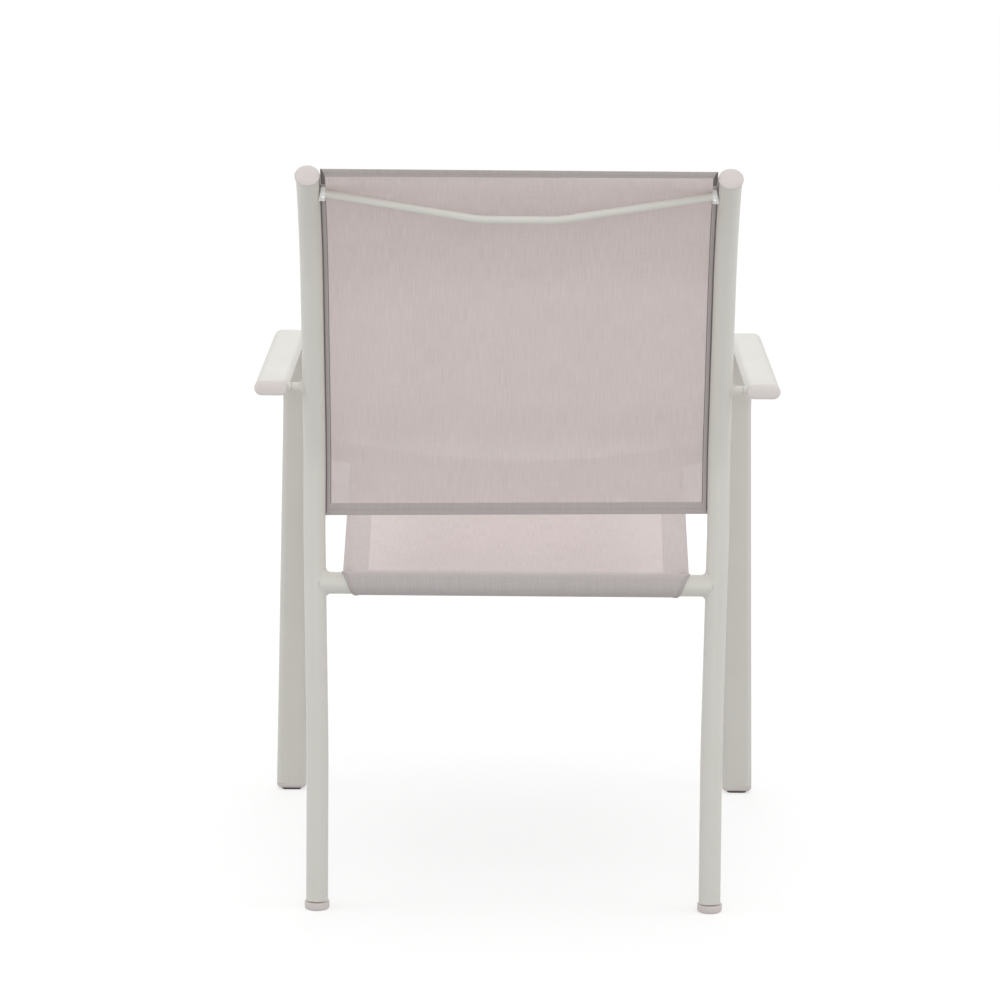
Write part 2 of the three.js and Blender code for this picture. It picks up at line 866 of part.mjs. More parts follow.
// Back sling and the splines that hold its edges in the grooves

const slingTop = postHeight + backSlingRise;

// Above the post ends the sling is cut back to clear the caps
function capNotches() {
  const inner = postSpacing / 2 - topCapRadius - clearance;
  const { x: width, y: depth, z: height } = notchSize;
  return [leftSide, rightSide].map((side) => new THREE.BoxGeometry(width, depth, height)
    .translate(side * (inner + width / 2), 0, height / 2 - backSlingTopInset)
    .rotateX(-topLean)
    .translate(0, rearFootY + topY, postHeight));
}

function addBackSling() {
  const heights = postHeights(backSlingBottom, postHeight - backSlingTopInset);
  const stations = [...heights, postHeight + backSlingRise / 2, slingTop]
    .map((height) => postPoint(0, height, grooveForward));
  const half = postSpacing / 2 - groovePocketDepth - splineRadius - clearance;
  const edge = backSlingThickness / 2;
  const shape = new THREE.Shape([
    new THREE.Vector2(-half, -edge),
    new THREE.Vector2(half, -edge),
    new THREE.Vector2(half, edge),
    new THREE.Vector2(-half, edge),
  ]);
  addPiece('back_sling', cut(solidOf(sweep(shape, stations)), ...capNotches()), cloth);
  [leftSide, rightSide].forEach((side) => {
    const route = heights.map((height) => postPoint(
      side * (postX(height) - groovePocketDepth),
      height,
      grooveForward,
    ));
    addPiece(`back_spline_${sideName(side)}`, sweep(roundShape(splineRadius, 8), route), greyPlastic);
  });
}

// Spreader rod behind the top of the back sling, with its brackets and pins

const rodHeight = postHeight - rodBelowTop;
const rodSeat = rodRadius + rodSlingGap + backSlingThickness / 2 - grooveForward;
const rodLean = postRun(rodHeight).lean;
const bracketOuterX = postX(rodHeight) - postRadius - clearance + bracketBite;
const bracketInnerX = bracketOuterX - bracketBottomWidth;
const rodEndX = bracketInnerX - clearance;

// The rod runs straight from each bracket, and a bend on each side leads to its straight middle
function rodPoint(x) {
  const slope = rodBow / (rodEndX - (rodFlatHalf + rodBendEnd) / 2);
  const away = Math.abs(x);
  const bent = Math.max(away - rodFlatHalf, 0);
  const drop = away > rodBendEnd
    ? slope * (rodEndX - away)
    : rodBow - slope * bent ** 2 / (2 * (rodBendEnd - rodFlatHalf));
  return postPoint(x, rodHeight, -rodSeat - drop);
}

function addSpreaderRod() {
  const bend = [rodFlatHalf, ...between(rodFlatHalf, rodBendEnd, 4)];
  const reach = rodEndX + overrun;
  const leftHalf = [...bend, reach];
  const rightHalf = leftHalf.map((x) => -x).reverse();
  const route = [...rightHalf, ...leftHalf].map(rodPoint);
  const keep = new THREE.BoxGeometry(2 * rodEndX, 2 * overallDepth, 2 * postHeight);
  const bar = solidOf(sweep(roundShape(rodRadius, smallSides), route, upward))
    .intersect(solidOf(keep));
  const tenons = [leftSide, rightSide].map((side) => {
    const root = rodPoint(side * rodEndX);
    const inner = root.clone().setX(side * (rodEndX - tenonLength));
    const tip = root.clone().setX(side * (rodEndX + tenonLength));
    return solidOf(roundBar(tenonRadius, inner, tip));
  });
  const rod = tenons.reduce((whole, tenon) => whole.add(tenon), bar);
  const holes = [leftSide, rightSide].map((side) => pinHole(side));
  addPiece('spreader_rod', cut(rod, ...holes), coat);
}

function bracketFrame(side) {
  const centre = postPoint(side * bracketInnerX, rodHeight, -rodSeat);
  return { centre, rearward: new THREE.Vector3(0, Math.cos(rodLean), -Math.sin(rodLean)) };
}

function pinPoint(side, rearward) {
  const { centre, rearward: direction } = bracketFrame(side);
  const point = centre.clone().addScaledVector(direction, rearward);
  point.x += side * (tenonLength / 2 + clearance);
  return point;
}

function pinHole(side) {
  const reach = bracketDepth / 2 + overrun;
  return roundBar(pinRadius + clearance, pinPoint(side, -tenonRadius / 2), pinPoint(side, reach), 8);
}

function addBrackets() {
  [leftSide, rightSide].forEach((side) => {
    const half = bracketHeight / 2;
    const shape = new THREE.Shape([
      new THREE.Vector2(0, -half),
      new THREE.Vector2(side * bracketBottomWidth, -half),
      new THREE.Vector2(side * bracketTopWidth, half),
      new THREE.Vector2(0, half),
    ]);
    const { centre } = bracketFrame(side);
    const block = straight(shape, bracketDepth)
      .translate(0, 0, -bracketDepth / 2)
      .rotateX(Math.PI / 2 - rodLean)
      .translate(centre.x, centre.y, centre.z);
    const socket = roundBar(
      tenonRadius + clearance,
      centre.clone().setX(side * (bracketInnerX - overrun)),
      centre.clone().setX(side * (rodEndX + tenonLength + clearance)),
    );
    const bracket = cut(solidOf(block), socket, pinHole(side), postEnvelope(side));
    addPiece(`rod_bracket_${sideName(side)}`, bracket, enamel);

    const shank = roundBar(
      pinRadius,
      pinPoint(side, -tenonRadius / 2 + clearance),
      pinPoint(side, bracketDepth / 2 + 2 * clearance),
      8,
    );
    const head = roundBar(
      pinHeadRadius,
      pinPoint(side, bracketDepth / 2 + clearance),
      pinPoint(side, bracketDepth / 2 + clearance + pinHeadHeight),
      10,
    );
    addPiece(`rod_pin_${sideName(side)}`, joined(shank, head), bareMetal);
  });
}

[leftSide, rightSide].forEach((side) => {
  addPost(side);
  addTopCap(side);
  addRearFoot(side);
  addArm(side);
  addArmCap(side);
  addFrontFoot(side);
  addArmTie(side);
});
addCrossbars();
addRails();
addSeatScrews();
addSeatSling();
addBackSling();
addSpreaderRod();
addBrackets();

export default chair;
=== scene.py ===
from math import asin, atan2, cos, degrees, pi, radians, sin, sqrt, tan

import bmesh
import bpy
from mathutils import Matrix, Vector


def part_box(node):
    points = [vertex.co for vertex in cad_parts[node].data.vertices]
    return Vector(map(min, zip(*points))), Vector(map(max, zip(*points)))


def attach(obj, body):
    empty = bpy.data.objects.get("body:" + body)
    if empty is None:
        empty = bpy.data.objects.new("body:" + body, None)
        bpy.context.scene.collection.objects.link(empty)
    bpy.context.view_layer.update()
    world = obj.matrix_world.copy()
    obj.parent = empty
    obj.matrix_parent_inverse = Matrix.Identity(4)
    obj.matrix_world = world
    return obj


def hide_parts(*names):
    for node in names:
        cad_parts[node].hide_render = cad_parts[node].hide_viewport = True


# A sling patio chair. Metres, +Z up; the sitter faces -Y and has +X on the left.
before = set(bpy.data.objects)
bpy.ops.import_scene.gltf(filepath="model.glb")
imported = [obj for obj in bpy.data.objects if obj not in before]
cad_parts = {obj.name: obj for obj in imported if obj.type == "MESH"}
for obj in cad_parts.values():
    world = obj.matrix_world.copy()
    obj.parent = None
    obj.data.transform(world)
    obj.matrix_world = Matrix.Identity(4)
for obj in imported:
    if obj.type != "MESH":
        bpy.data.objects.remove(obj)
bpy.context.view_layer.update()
sides = {"left": 1, "right": -1}
touchGap = 0.0003  # left between pieces that touch
print("frame loaded")


def middleOf(node):
    low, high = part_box(node)
    return (Vector(low) + Vector(high)) / 2


def span(low, high, count):
    return [low + (high - low) * i / count for i in range(count + 1)]


def within(value):
    return max(0.0, min(1.0, value))


def placeAt(point, angle=0.0, axis="X"):
    return Matrix.Translation(point) @ Matrix.Rotation(angle, 4, axis)


post = {
    "radius": 0.0127,
    "spacing": 0.4657,
    "footSpacing": 0.4568,
    "taperStart": 0.190,
    "taperHeight": 0.440,
    "height": 0.8645,
    "kneeHeight": 0.500,
    "kneeRadius": 0.150,
    "crownHeight": 0.720,
    "legLean": 6.0,
    "backRecline": 15.5,
    "crownLean": 49.0,
    "grooveForward": 0.004,
    "grooveMouth": 0.0024,
    "pocketRadius": 0.003,
    "pocketDepth": 0.0076,
    "sides": 64,
    "steps": (10, 4, 10, 10, 22),
}
postY = middleOf("rear_foot_left").y
legLean = radians(post["legLean"])
recline = radians(post["backRecline"])
crownLean = radians(post["crownLean"])
kneeTop = post["kneeHeight"] + post["kneeRadius"] * (sin(recline) + sin(legLean))
kneeStartY = -post["kneeHeight"] * tan(legLean)
kneeEndY = kneeStartY + post["kneeRadius"] * (cos(legLean) - cos(recline))
crownStartY = kneeEndY + (post["crownHeight"] - kneeTop) * tan(recline)
crownRadius = (post["height"] - post["crownHeight"]) / (sin(crownLean) - sin(recline))


def postRun(height):
    # depth behind the foot, and lean, of a post's centre line
    if height <= post["kneeHeight"]:
        return -height * tan(legLean), -legLean
    if height <= kneeTop:
        lean = asin((height - post["kneeHeight"]) / post["kneeRadius"] - sin(legLean))
        return kneeStartY + post["kneeRadius"] * (cos(legLean) - cos(lean)), lean
    if height <= post["crownHeight"]:
        return kneeEndY + (height - kneeTop) * tan(recline), recline
    lean = asin((height - post["crownHeight"]) / crownRadius + sin(recline))
    return crownStartY + crownRadius * (cos(recline) - cos(lean)), lean


def postX(height):
    share = within((height - post["taperStart"]) / (post["taperHeight"] - post["taperStart"]))
    return (post["footSpacing"] + (post["spacing"] - post["footSpacing"]) * share) / 2


def postPoint(x, height, forward=0.0):
    y, lean = postRun(height)
    return Vector((x, postY + y - forward * cos(lean), height + forward * sin(lean)))


def postAxis(side, height):
    return postPoint(side * postX(height), height)


def postHeights(low, high):
    # levels that lie closer together in the knee and the crown
    ends = [0, post["taperHeight"], post["kneeHeight"], kneeTop, post["crownHeight"]]
    ends.append(post["height"])
    stops = [z for a, b, n in zip(ends, ends[1:], post["steps"]) for z in span(a, b, n)]
    inner = sorted({round(stop, 6) for stop in stops if low + 1e-4 < stop < high - 1e-4})
    return [low, *inner, high]


arm = {
    "width": 0.0381,
    "thickness": 0.017,
    "span": 0.600,
    "height": 0.6096,
    "tail": 0.010,
    "legTopSpan": 0.592,
    "legFootSpan": 0.614,
    "bendRadius": 0.110,
    "legLean": 1.7,
    "edgeSides": 14,
}
armX = (arm["span"] - arm["width"]) / 2
armRearY = postY + postRun(arm["height"])[0] + arm["tail"]
frontFootY = middleOf("front_foot_glide_left").y
legTurn = pi / 2 - radians(arm["legLean"])
legTopHeight = arm["height"] - arm["bendRadius"] * (1 - cos(legTurn))
legTopY = frontFootY + legTopHeight * tan(radians(arm["legLean"]))
bendStartY = legTopY + arm["bendRadius"] * sin(legTurn)


def legPoint(side, height):
    share = height / legTopHeight
    width = arm["legFootSpan"] + (arm["legTopSpan"] - arm["legFootSpan"]) * share
    y = frontFootY + (legTopY - frontFootY) * share
    return Vector((side * (width - arm["width"]) / 2, y, height))


def armRoute(side, lowest):
    legTopX = (arm["legTopSpan"] - arm["width"]) / 2
    route = [Vector((side * armX, y, arm["height"])) for y in span(armRearY, bendStartY, 12)]
    for turn in span(0, legTurn, 30)[1:]:
        ease = (1 - cos(pi * turn / legTurn)) / 2
        y = bendStartY - arm["bendRadius"] * sin(turn)
        z = arm["height"] - arm["bendRadius"] * (1 - cos(turn))
        route.append(Vector((side * (armX + (legTopX - armX) * ease), y, z)))
    return route + [legPoint(side, z) for z in span(legTopHeight, lowest, 12)[1:]]


bar = {
    "radius": 0.0127,
    "rearHeight": 0.379,
    "frontHeight": 0.456,
    "frontBow": 0.034,
    "frontBite": 0.0046,
    "frontWeld": 0.0023,
    "rearReach": 0.45,
    "screwPitch": 0.120,
    "screwTilt": 40.0,
}
rearBarY = postPoint(0, bar["rearHeight"]).y
frontBarY = legPoint(1, bar["frontHeight"]).y
frontBarEnd = legPoint(1, bar["frontHeight"]).x - arm["width"] / 2 + bar["frontBite"]
barRun = rearBarY - frontBarY


def barHeight(zone, x):
    if zone == "rear":
        return bar["rearHeight"]
    return bar["frontHeight"] - bar["frontBow"] * (1 - (x / frontBarEnd) ** 2)


def ringShell(rings, capped=True, looped=False):
    # a shell over rings of points; a ring of one point is a pole
    shell = bmesh.new()
    rings = [[shell.verts.new(point) for point in ring] for ring in rings]
    for lower, upper in zip(rings, rings[1:] + (rings[:1] if looped else [])):
        count = max(len(lower), len(upper))
        for j in range(count):
            k = (j + 1) % count
            corners = [lower[j % len(lower)], lower[k % len(lower)]]
            corners += [upper[k % len(upper)], upper[j % len(upper)]]
            shell.faces.new(list(dict.fromkeys(corners)))
    if capped:
        shell.faces.new(rings[0][::-1])
        shell.faces.new(rings[-1])
    return shell


def sweep(route, section):
    # a tube along the route, with its section held level across
    rings, side = [], Vector((1, 0, 0))
    for i, point in enumerate(route):
        tangent = (route[min(i + 1, len(route) - 1)] - route[max(i - 1, 0)]).normalized()
        across = (side - tangent * side.dot(tangent)).normalized()
        upright = tangent.cross(across)
        rings.append([point + across * u + upright * v for u, v in section])
    return ringShell(rings)


def turned(profile, count, place=Matrix()):
    # a lathe shape from (radius, height) points, closed on its axis at both ends
    spokes = [(cos(2 * pi * j / count), sin(2 * pi * j / count)) for j in range(count)]
    rings = []
    for radius, height in profile:
        ring = spokes if radius else [(0, 0)]
        rings.append([place @ Vector((radius * u, radius * v, height)) for u, v in ring])
    return ringShell(rings, capped=False)


def stacked(levels, place):
    return ringShell([[place @ Vector(point) for point in level] for level in levels])


def ovalLoop(width, thickness):
    radius = thickness / 2
    return [
        (centre + radius * cos(angle), radius * sin(angle))
        for centre, start in ((width / 2 - radius, -pi / 2), (radius - width / 2, pi / 2))
        for angle in span(start, start + pi, arm["edgeSides"])
    ]


def newObject(name, data):
    made = bpy.data.objects.new(name, data)
    bpy.context.scene.collection.objects.link(made)
    return made


def asPiece(name, shell, material, sharpAngle=38):
    shell.normal_update()
    bmesh.ops.recalc_face_normals(shell, faces=shell.faces)
    for face in shell.faces:
        face.smooth = True
    for edge in shell.edges:
        if len(edge.link_faces) == 2:
            edge.smooth = edge.calc_face_angle(0) < radians(sharpAngle)
    mesh = bpy.data.meshes.new(name)
    shell.to_mesh(mesh)
    shell.free()
    mesh.materials.append(material)
    return newObject(name, mesh)


def settled(piece):
    # what the modifiers make becomes the piece's own mesh
    evaluated = piece.evaluated_get(bpy.context.evaluated_depsgraph_get())
    mesh = bpy.data.meshes.new_from_object(evaluated)
    mesh.name = piece.name
    piece.modifiers.clear()
    piece.data = mesh
    return piece


def fit(piece, slotName, *nodes):
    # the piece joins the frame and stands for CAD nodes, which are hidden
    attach(piece, "root")
    if nodes:
        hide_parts(*nodes)
    return piece


class Wire:
    def __init__(self, graph, socket):
        self.graph = graph
        self.socket = socket

    def __add__(self, other):
        return self.graph.maths("ADD", self, other)

    def __sub__(self, other):
        return self.graph.maths("SUBTRACT", self, other)

    def __rsub__(self, other):
        return self.graph.maths("SUBTRACT", other, self)

    def __mul__(self, other):
        return self.graph.maths("MULTIPLY", self, other)

    def __truediv__(self, other):
        return self.graph.maths("DIVIDE", self, other)

    __radd__ = __add__
    __rmul__ = __mul__


class Graph:
    def __init__(self, tree):
        self.tree = tree

    def add(self, kind, sockets=None, output=0, **settings):
        node = self.tree.nodes.new(kind)
        for key, value in settings.items():
            setattr(node, key, value)
        for key, value in (sockets or {}).items():
            if isinstance(value, Wire):
                self.tree.links.new(value.socket, node.inputs[key])
            else:
                node.inputs[key].default_value = value
        return Wire(self, node.outputs[output]) if node.outputs else None

    def maths(self, operation, *values):
        return self.add("ShaderNodeMath", dict(enumerate(values)), operation=operation)

    def clamped(self, value):
        return self.add("ShaderNodeClamp", {"Value": value})

    def mixed(self, share, first, second):
        return self.add("ShaderNodeMix", {0: share, 6: first, 7: second}, 2, data_type="RGBA")

    def here(self):
        return self.add("ShaderNodeTexCoord", output=3)

    def part(self, vector, axis):
        return self.add("ShaderNodeSeparateXYZ", {0: vector}, axis)

    def noise(self, coordinates, scale, detail, roughness=0.5):
        return self.add("ShaderNodeTexNoise", {
            "Vector": coordinates, "Scale": scale, "Detail": detail, "Roughness": roughness,
        })

    def stretched(self, coordinates, scale):
        return self.add("ShaderNodeMapping", {"Vector": coordinates, "Scale": scale})

    def bump(self, strength, distance, height):
        sockets = {"Strength": strength, "Distance": distance, "Height": height}
        return self.add("ShaderNodeBump", sockets)

    def given(self, label):
        return self.add("NodeGroupInput", output=label)


def paint(colour):
    # a colour from its screen values, 0 to 255
    shares = [value / 255 for value in colour]
    return (*(s / 12.92 if s <= 0.04045 else ((s + 0.055) / 1.055) ** 2.4 for s in shares), 1.0)


def newMaterial(name):
    material = bpy.data.materials.new(name)
    material.use_nodes = True
    material.node_tree.nodes.clear()
    return material, Graph(material.node_tree)


def surface(graph, sockets):
    shader = graph.add("ShaderNodeBsdfPrincipled", sockets)
    graph.add("ShaderNodeOutputMaterial", {"Surface": shader})


coat = {
    "colour": (228, 226, 219),
    "shade": (221, 219, 211),
    "scuff": (168, 162, 150),
    "roughness": 0.36,
    "cloudScale": 14,
    "peelScale": 750,
    "peelDepth": 0.00004,
    "scuffScale": 420,
    "scuffHeight": 0.05,
    "scuffStart": 0.56,
    "scuffAmount": 0.22,
}


def makeFrameCoat():
    # satin powder coat: a fine orange peel, faint clouds, and scuffs near the floor
    material, graph = newMaterial("frameCoat")
    here = graph.here()
    cloud = graph.noise(here, coat["cloudScale"], 3)
    low = graph.clamped(1 - graph.part(here, 2) / coat["scuffHeight"])
    speck = graph.noise(here, coat["scuffScale"], 2, 0.6) - coat["scuffStart"]
    scuff = graph.clamped(speck * 9) * low * coat["scuffAmount"]
    colour = graph.mixed(cloud, paint(coat["colour"]), paint(coat["shade"]))
    surface(graph, {
        "Base Color": graph.mixed(scuff, colour, paint(coat["scuff"])),
        "Roughness": graph.clamped(cloud * 0.1 + (coat["roughness"] - 0.05) + scuff * 0.3),
        "Normal": graph.bump(0.35, coat["peelDepth"], graph.noise(here, coat["peelScale"], 1)),
    })
    return material


plastic = {"cloudScale": 60, "grainScale": 1400, "grainDepth": 0.00003}
thread = {"roughness": 0.7, "grain": 2600, "depth": 0.00006}


def makePlastic(name, colour, shade, roughness, grain=plastic["grainScale"],
                depth=plastic["grainDepth"]):
    # moulded plastic with a fine spark-eroded grain
    material, graph = newMaterial(name)
    here = graph.here()
    cloud = graph.noise(here, plastic["cloudScale"], 3)
    surface(graph, {
        "Base Color": graph.mixed(cloud, paint(colour), paint(shade)),
        "Roughness": graph.clamped(cloud * 0.12 + roughness - 0.06),
        "Normal": graph.bump(0.4, depth, graph.noise(here, grain, 2, 0.6)),
    })
    return material


steel = {"brushScale": 700, "brushStretch": 0.08, "brushDepth": 0.00002}


def makeMetal(name, colour, roughness):
    # bare metal with short brush lines
    material, graph = newMaterial(name)
    place = graph.stretched(graph.here(), (steel["brushStretch"], 1.0, 1.0))
    lines = graph.noise(place, steel["brushScale"], 3, 0.6)
    dark = [channel * 0.86 for channel in colour]
    surface(graph, {
        "Base Color": graph.mixed(lines, paint(colour), paint(dark)),
        "Metallic": 1.0,
        "Roughness": graph.clamped(lines * 0.2 + roughness - 0.1),
        "Normal": graph.bump(0.3, steel["brushDepth"], lines),
    })
    return material


weave = {
    "pitch": 0.00095,
    "gap": 0.19,
    "dip": 0.45,
    "wander": 0.00012,
    "wanderScale": 160.0,
    "yarnOpacity": 0.93,
    "holeOpacity": 0.05,
    # painted light: the single-cloth colours are lighter than the yarn itself, standing in for
    # light shining through the yarn
    "warpLitColour": (249, 234, 231),
    "weftLitColour": (245, 231, 229),
    "hollowShadeColour": (226, 212, 210),
    "streakLitColour": (228, 215, 213),
    "streakWidth": 0.0012,
    "streakLength": 0.026,
    "depth": 0.00018,
}


def makeCloth(name, doubledColour, alwaysDoubled=False):
    # open plain weave of coated yarn; a mark says how far a second layer closes it, or how far
    # painted shade darkens it
    material, graph = newMaterial(name)
    place = graph.add("ShaderNodeUVMap", uv_map="cloth")
    sway = graph.add("ShaderNodeTexNoise", {"Vector": place, "Scale": weave["wanderScale"]}, 1)
    sway = graph.add("ShaderNodeVectorMath", {0: sway, "Scale": weave["wander"] * 2},
                     operation="SCALE")
    yarns = graph.add("ShaderNodeVectorMath", {0: place, 1: sway}, operation="ADD")
    across, along = (graph.part(yarns, axis) / weave["pitch"] for axis in (0, 1))
    warp, weft = (
        graph.maths("SINE", graph.maths("FRACT", run) * pi) for run in (across, along)
    )
    cell = graph.maths("FLOOR", across) + graph.maths("FLOOR", along)
    over = graph.maths("PINGPONG", cell, 1)
    warpHeight = warp * (over * weave["dip"] + (1 - weave["dip"]))
    weftHeight = weft * (1 - over * weave["dip"])
    height = graph.maths("MAXIMUM", warpHeight, weftHeight)
    onTop = graph.clamped((warpHeight - weftHeight) * 6 + 0.5)
    edge = sin(pi * weave["gap"])
    hole = graph.clamped((edge - warp) * 7 + 0.5) * graph.clamped((edge - weft) * 7 + 0.5)
    thin, long = 1 / weave["streakWidth"], 1 / weave["streakLength"]
    warpStreak = graph.noise(graph.stretched(place, (thin, long, 1)), 1, 1)
    weftStreak = graph.noise(graph.stretched(place, (long, thin, 1)), 1, 1)
    cloud = graph.noise(place, 16, 2)
    tone = graph.clamped(warpStreak * 1.5 + weftStreak * 0.8 + cloud * 0.5 - 0.95)
    # single cloth: yarn colours with painted light through them, then random streaks
    yarn = graph.mixed(onTop, paint(weave["weftLitColour"]), paint(weave["warpLitColour"]))
    yarn = graph.mixed(tone, yarn, paint(weave["streakLitColour"]))
    # painted shade: the hollows between the yarns are drawn darker
    hollowShade = graph.clamped(1.1 - height * 1.25) * 0.6
    singleWithLightThrough = graph.mixed(hollowShade, yarn, paint(weave["hollowShadeColour"]))
    doubled = 1.0
    if not alwaysDoubled:
        doubled = graph.add("ShaderNodeAttribute", None, 2, attribute_name="doubled")
    # the doubled colour darkens in the painted shade of the hollows and along random streaks
    dark = [channel * 0.88 for channel in doubledColour]
    grey = graph.mixed(graph.clamped(hollowShade + tone * 0.5), paint(doubledColour), paint(dark))
    opacity = weave["yarnOpacity"] - hole * (weave["yarnOpacity"] - weave["holeOpacity"])
    surface(graph, {
        "Base Color": graph.mixed(doubled, singleWithLightThrough, grey),
        "Roughness": graph.clamped(0.80 - height * 0.14),
        "Alpha": graph.clamped(graph.maths("MAXIMUM", opacity, doubled * 2)),
        "Sheen Weight": 0.08,
        "Sheen Roughness": 0.5,
        "Normal": graph.bump(0.6, weave["depth"], height),
    })
    return material


frameCoat = makeFrameCoat()
capPlastic = makePlastic("capPlastic", (225, 217, 214), (216, 208, 205), 0.42)
# painted light: a lighter copy of the cap plastic for the arm end caps, standing in for light
# falling on them
endPlastic = makePlastic("endPlastic", (238, 230, 227), (231, 223, 220), 0.42)
glidePlastic = makePlastic("glidePlastic", (60, 58, 56), (48, 46, 44), 0.6)
# painted light: the spacer plastic is drawn lighter than its pale grey, making up for the shade
# between arm and post
spacerPlastic = makePlastic("spacerPlastic", (238, 235, 229), (230, 227, 221), 0.5)
splinePlastic = makePlastic("splinePlastic", (104, 98, 96), (88, 83, 81), 0.55)
threadYarn = makePlastic("threadYarn", (176, 167, 165), (160, 152, 150), **thread)
seatThread = makePlastic("seatThread", (226, 214, 211), (214, 203, 200), **thread)
bracketPaint = makePlastic("bracketPaint", (250, 250, 248), (246, 246, 243), 0.30)
fixingSteel = makeMetal("fixingSteel", (205, 205, 203), 0.28)
pinSteel = makeMetal("pinSteel", (250, 250, 249), 0.16)
slingCloth = makeCloth("slingCloth", (207, 200, 199))
# the corner cloth is painted shadow beside the top caps
# the seam cloth is dark cloth for seam lines, and also painted shadow beside the posts
hemCloth, sideHemCloth, seamAndShadeCloth, cornerShadeCloth = (
    makeCloth(f"{name}Cloth", colour, True) for name, colour in (
        ("hem", (212, 204, 202)), ("sideHem", (198, 190, 189)),
        ("seam", (132, 125, 123)), ("corner", (120, 112, 111)),
    )
)
print("materials made")


def newNodeGroup(name, inputs):
    tree = bpy.data.node_groups.new(name, "GeometryNodeTree")
    tree.is_modifier = True
    keys = {}
    for label, kind, value in (("Geometry", "Geometry", None), *inputs):
        kind = f"NodeSocket{kind}"
        socket = tree.interface.new_socket(label, in_out="INPUT", socket_type=kind)
        if value is not None:
            socket.default_value = value
        keys[label] = socket.identifier
    tree.interface.new_socket("Geometry", in_out="OUTPUT", socket_type="NodeSocketGeometry")
    return Graph(tree), keys


def finishGroup(graph, keys, shape, material):
    shape = graph.add("GeometryNodeRealizeInstances", {"Geometry": shape})
    shape = graph.add("GeometryNodeSetMaterial", {"Geometry": shape, "Material": material})
    graph.add("NodeGroupOutput", {"Geometry": shape})
    return graph.tree, keys


def makeBarGroup(material):
    # a round bar along a path
    graph, keys = newNodeGroup("roundBar", [("Radius", "Float", 0.005), ("Sides", "Int", 48)])
    ring = graph.add("GeometryNodeCurvePrimitiveCircle", {
        "Resolution": graph.given("Sides"), "Radius": graph.given("Radius"),
    }, mode="RADIUS")
    line = graph.add("GeometryNodeMeshToCurve", {"Mesh": graph.given("Geometry")})
    tube = graph.add("GeometryNodeCurveToMesh", {
        "Curve": line, "Profile Curve": ring, "Fill Caps": True,
    })
    tube = graph.add("GeometryNodeSetShadeSmooth", {"Geometry": tube})
    return finishGroup(graph, keys, tube, material)


def makeSetGroup(name, material, inRows):
    # a template along a path at a pitch, or at each point, with its top facing out
    inputs = [("Template", "Object", None)]
    if inRows:
        inputs.insert(0, ("Pitch", "Float", 0.003))
    graph, keys = newNodeGroup(name, inputs)
    facing = graph.add("GeometryNodeInputNamedAttribute", {"Name": "facing"},
                       data_type="FLOAT_VECTOR")
    turner, mesh = "FunctionNodeAlignRotationToVector", {"Mesh": graph.given("Geometry")}
    if inRows:
        points = graph.add("GeometryNodeResampleCurve", {
            "Curve": graph.add("GeometryNodeMeshToCurve", mesh), "Length": graph.given("Pitch"),
        }, mode="LENGTH")
        turn = graph.add(turner, {"Vector": graph.add("GeometryNodeInputTangent")}, axis="X")
        turn = graph.add(turner, {"Rotation": turn, "Vector": facing}, axis="Z", pivot_axis="X")
    else:
        points = graph.add("GeometryNodeMeshToPoints", mesh)
        turn = graph.add(turner, {"Vector": facing}, axis="Z")
    shape = graph.add("GeometryNodeObjectInfo", {"Object": graph.given("Template")}, 4,
                      transform_space="ORIGINAL")
    placed = graph.add("GeometryNodeInstanceOnPoints", {
        "Points": points, "Instance": shape, "Rotation": turn,
    })
    return finishGroup(graph, keys, placed, material)


barGroup = makeBarGroup(frameCoat)
stitchGroup = makeSetGroup("stitchRow", threadYarn, True)
seatStitchGroup = makeSetGroup("seatStitchRow", seatThread, True)
fixingGroup = makeSetGroup("fixings", fixingSteel, False)
pinGroup = makeSetGroup("bracketPins", pinSteel, False)


def pathObject(name, routes, facings=None):
    # bare edges along each route, with the way that each point faces
    mesh = bpy.data.meshes.new(name)
    points = [point for route in routes for point in route]
    edges, start = [], 0
    for route in routes:
        edges += [(start + i, start + i + 1) for i in range(len(route) - 1)]
        start += len(route)
    mesh.from_pydata(points, edges, [])
    if facings:
        attribute = mesh.attributes.new("facing", "FLOAT_VECTOR", "POINT")
        flat = [channel for facing in facings for way in facing for channel in way]
        attribute.data.foreach_set("vector", flat)
    return newObject(name, mesh)


def runGroup(carrier, group, values):
    tree, keys = group
    modifier = carrier.modifiers.new("nodes", "NODES")
    modifier.node_group = tree
    for label, value in values.items():
        modifier[keys[label]] = value
    return settled(carrier)


def roundBar(name, route, radius, count, *nodes):
    made = runGroup(pathObject(name, [route]), barGroup, {"Radius": radius, "Sides": count})
    return fit(made, "frame_coat", *nodes)


stitch = {"length": 0.0024, "pitch": 0.0034, "width": 0.0006, "height": 0.00045}


def stitchTemplate():
    shell = bmesh.new()
    bmesh.ops.create_uvsphere(shell, u_segments=8, v_segments=6, radius=0.5)
    turn = Matrix.Rotation(pi / 2, 4, "Y")
    size = Matrix.Diagonal((stitch["length"], stitch["width"], stitch["height"], 1))
    bmesh.ops.transform(shell, matrix=size @ turn, verts=shell.verts)
    return asPiece("stitchTemplate", shell, threadYarn, 180)


def stitchRows(name, routes, facings, group):
    rows = runGroup(pathObject(name, routes, facings), group, {
        "Pitch": stitch["pitch"], "Template": stitchShape,
    })
    return fit(rows, "sling_fabric")


stitchShape = stitchTemplate()
print("node groups made")

cap = {
    "topRadius": 0.014,
    "topRim": 0.0016,
    "topDome": 0.0022,
    "topPlug": 0.01825,
    "footRadius": 0.0144,
    "footHeight": 0.009,
    "footRounding": 0.0024,
}


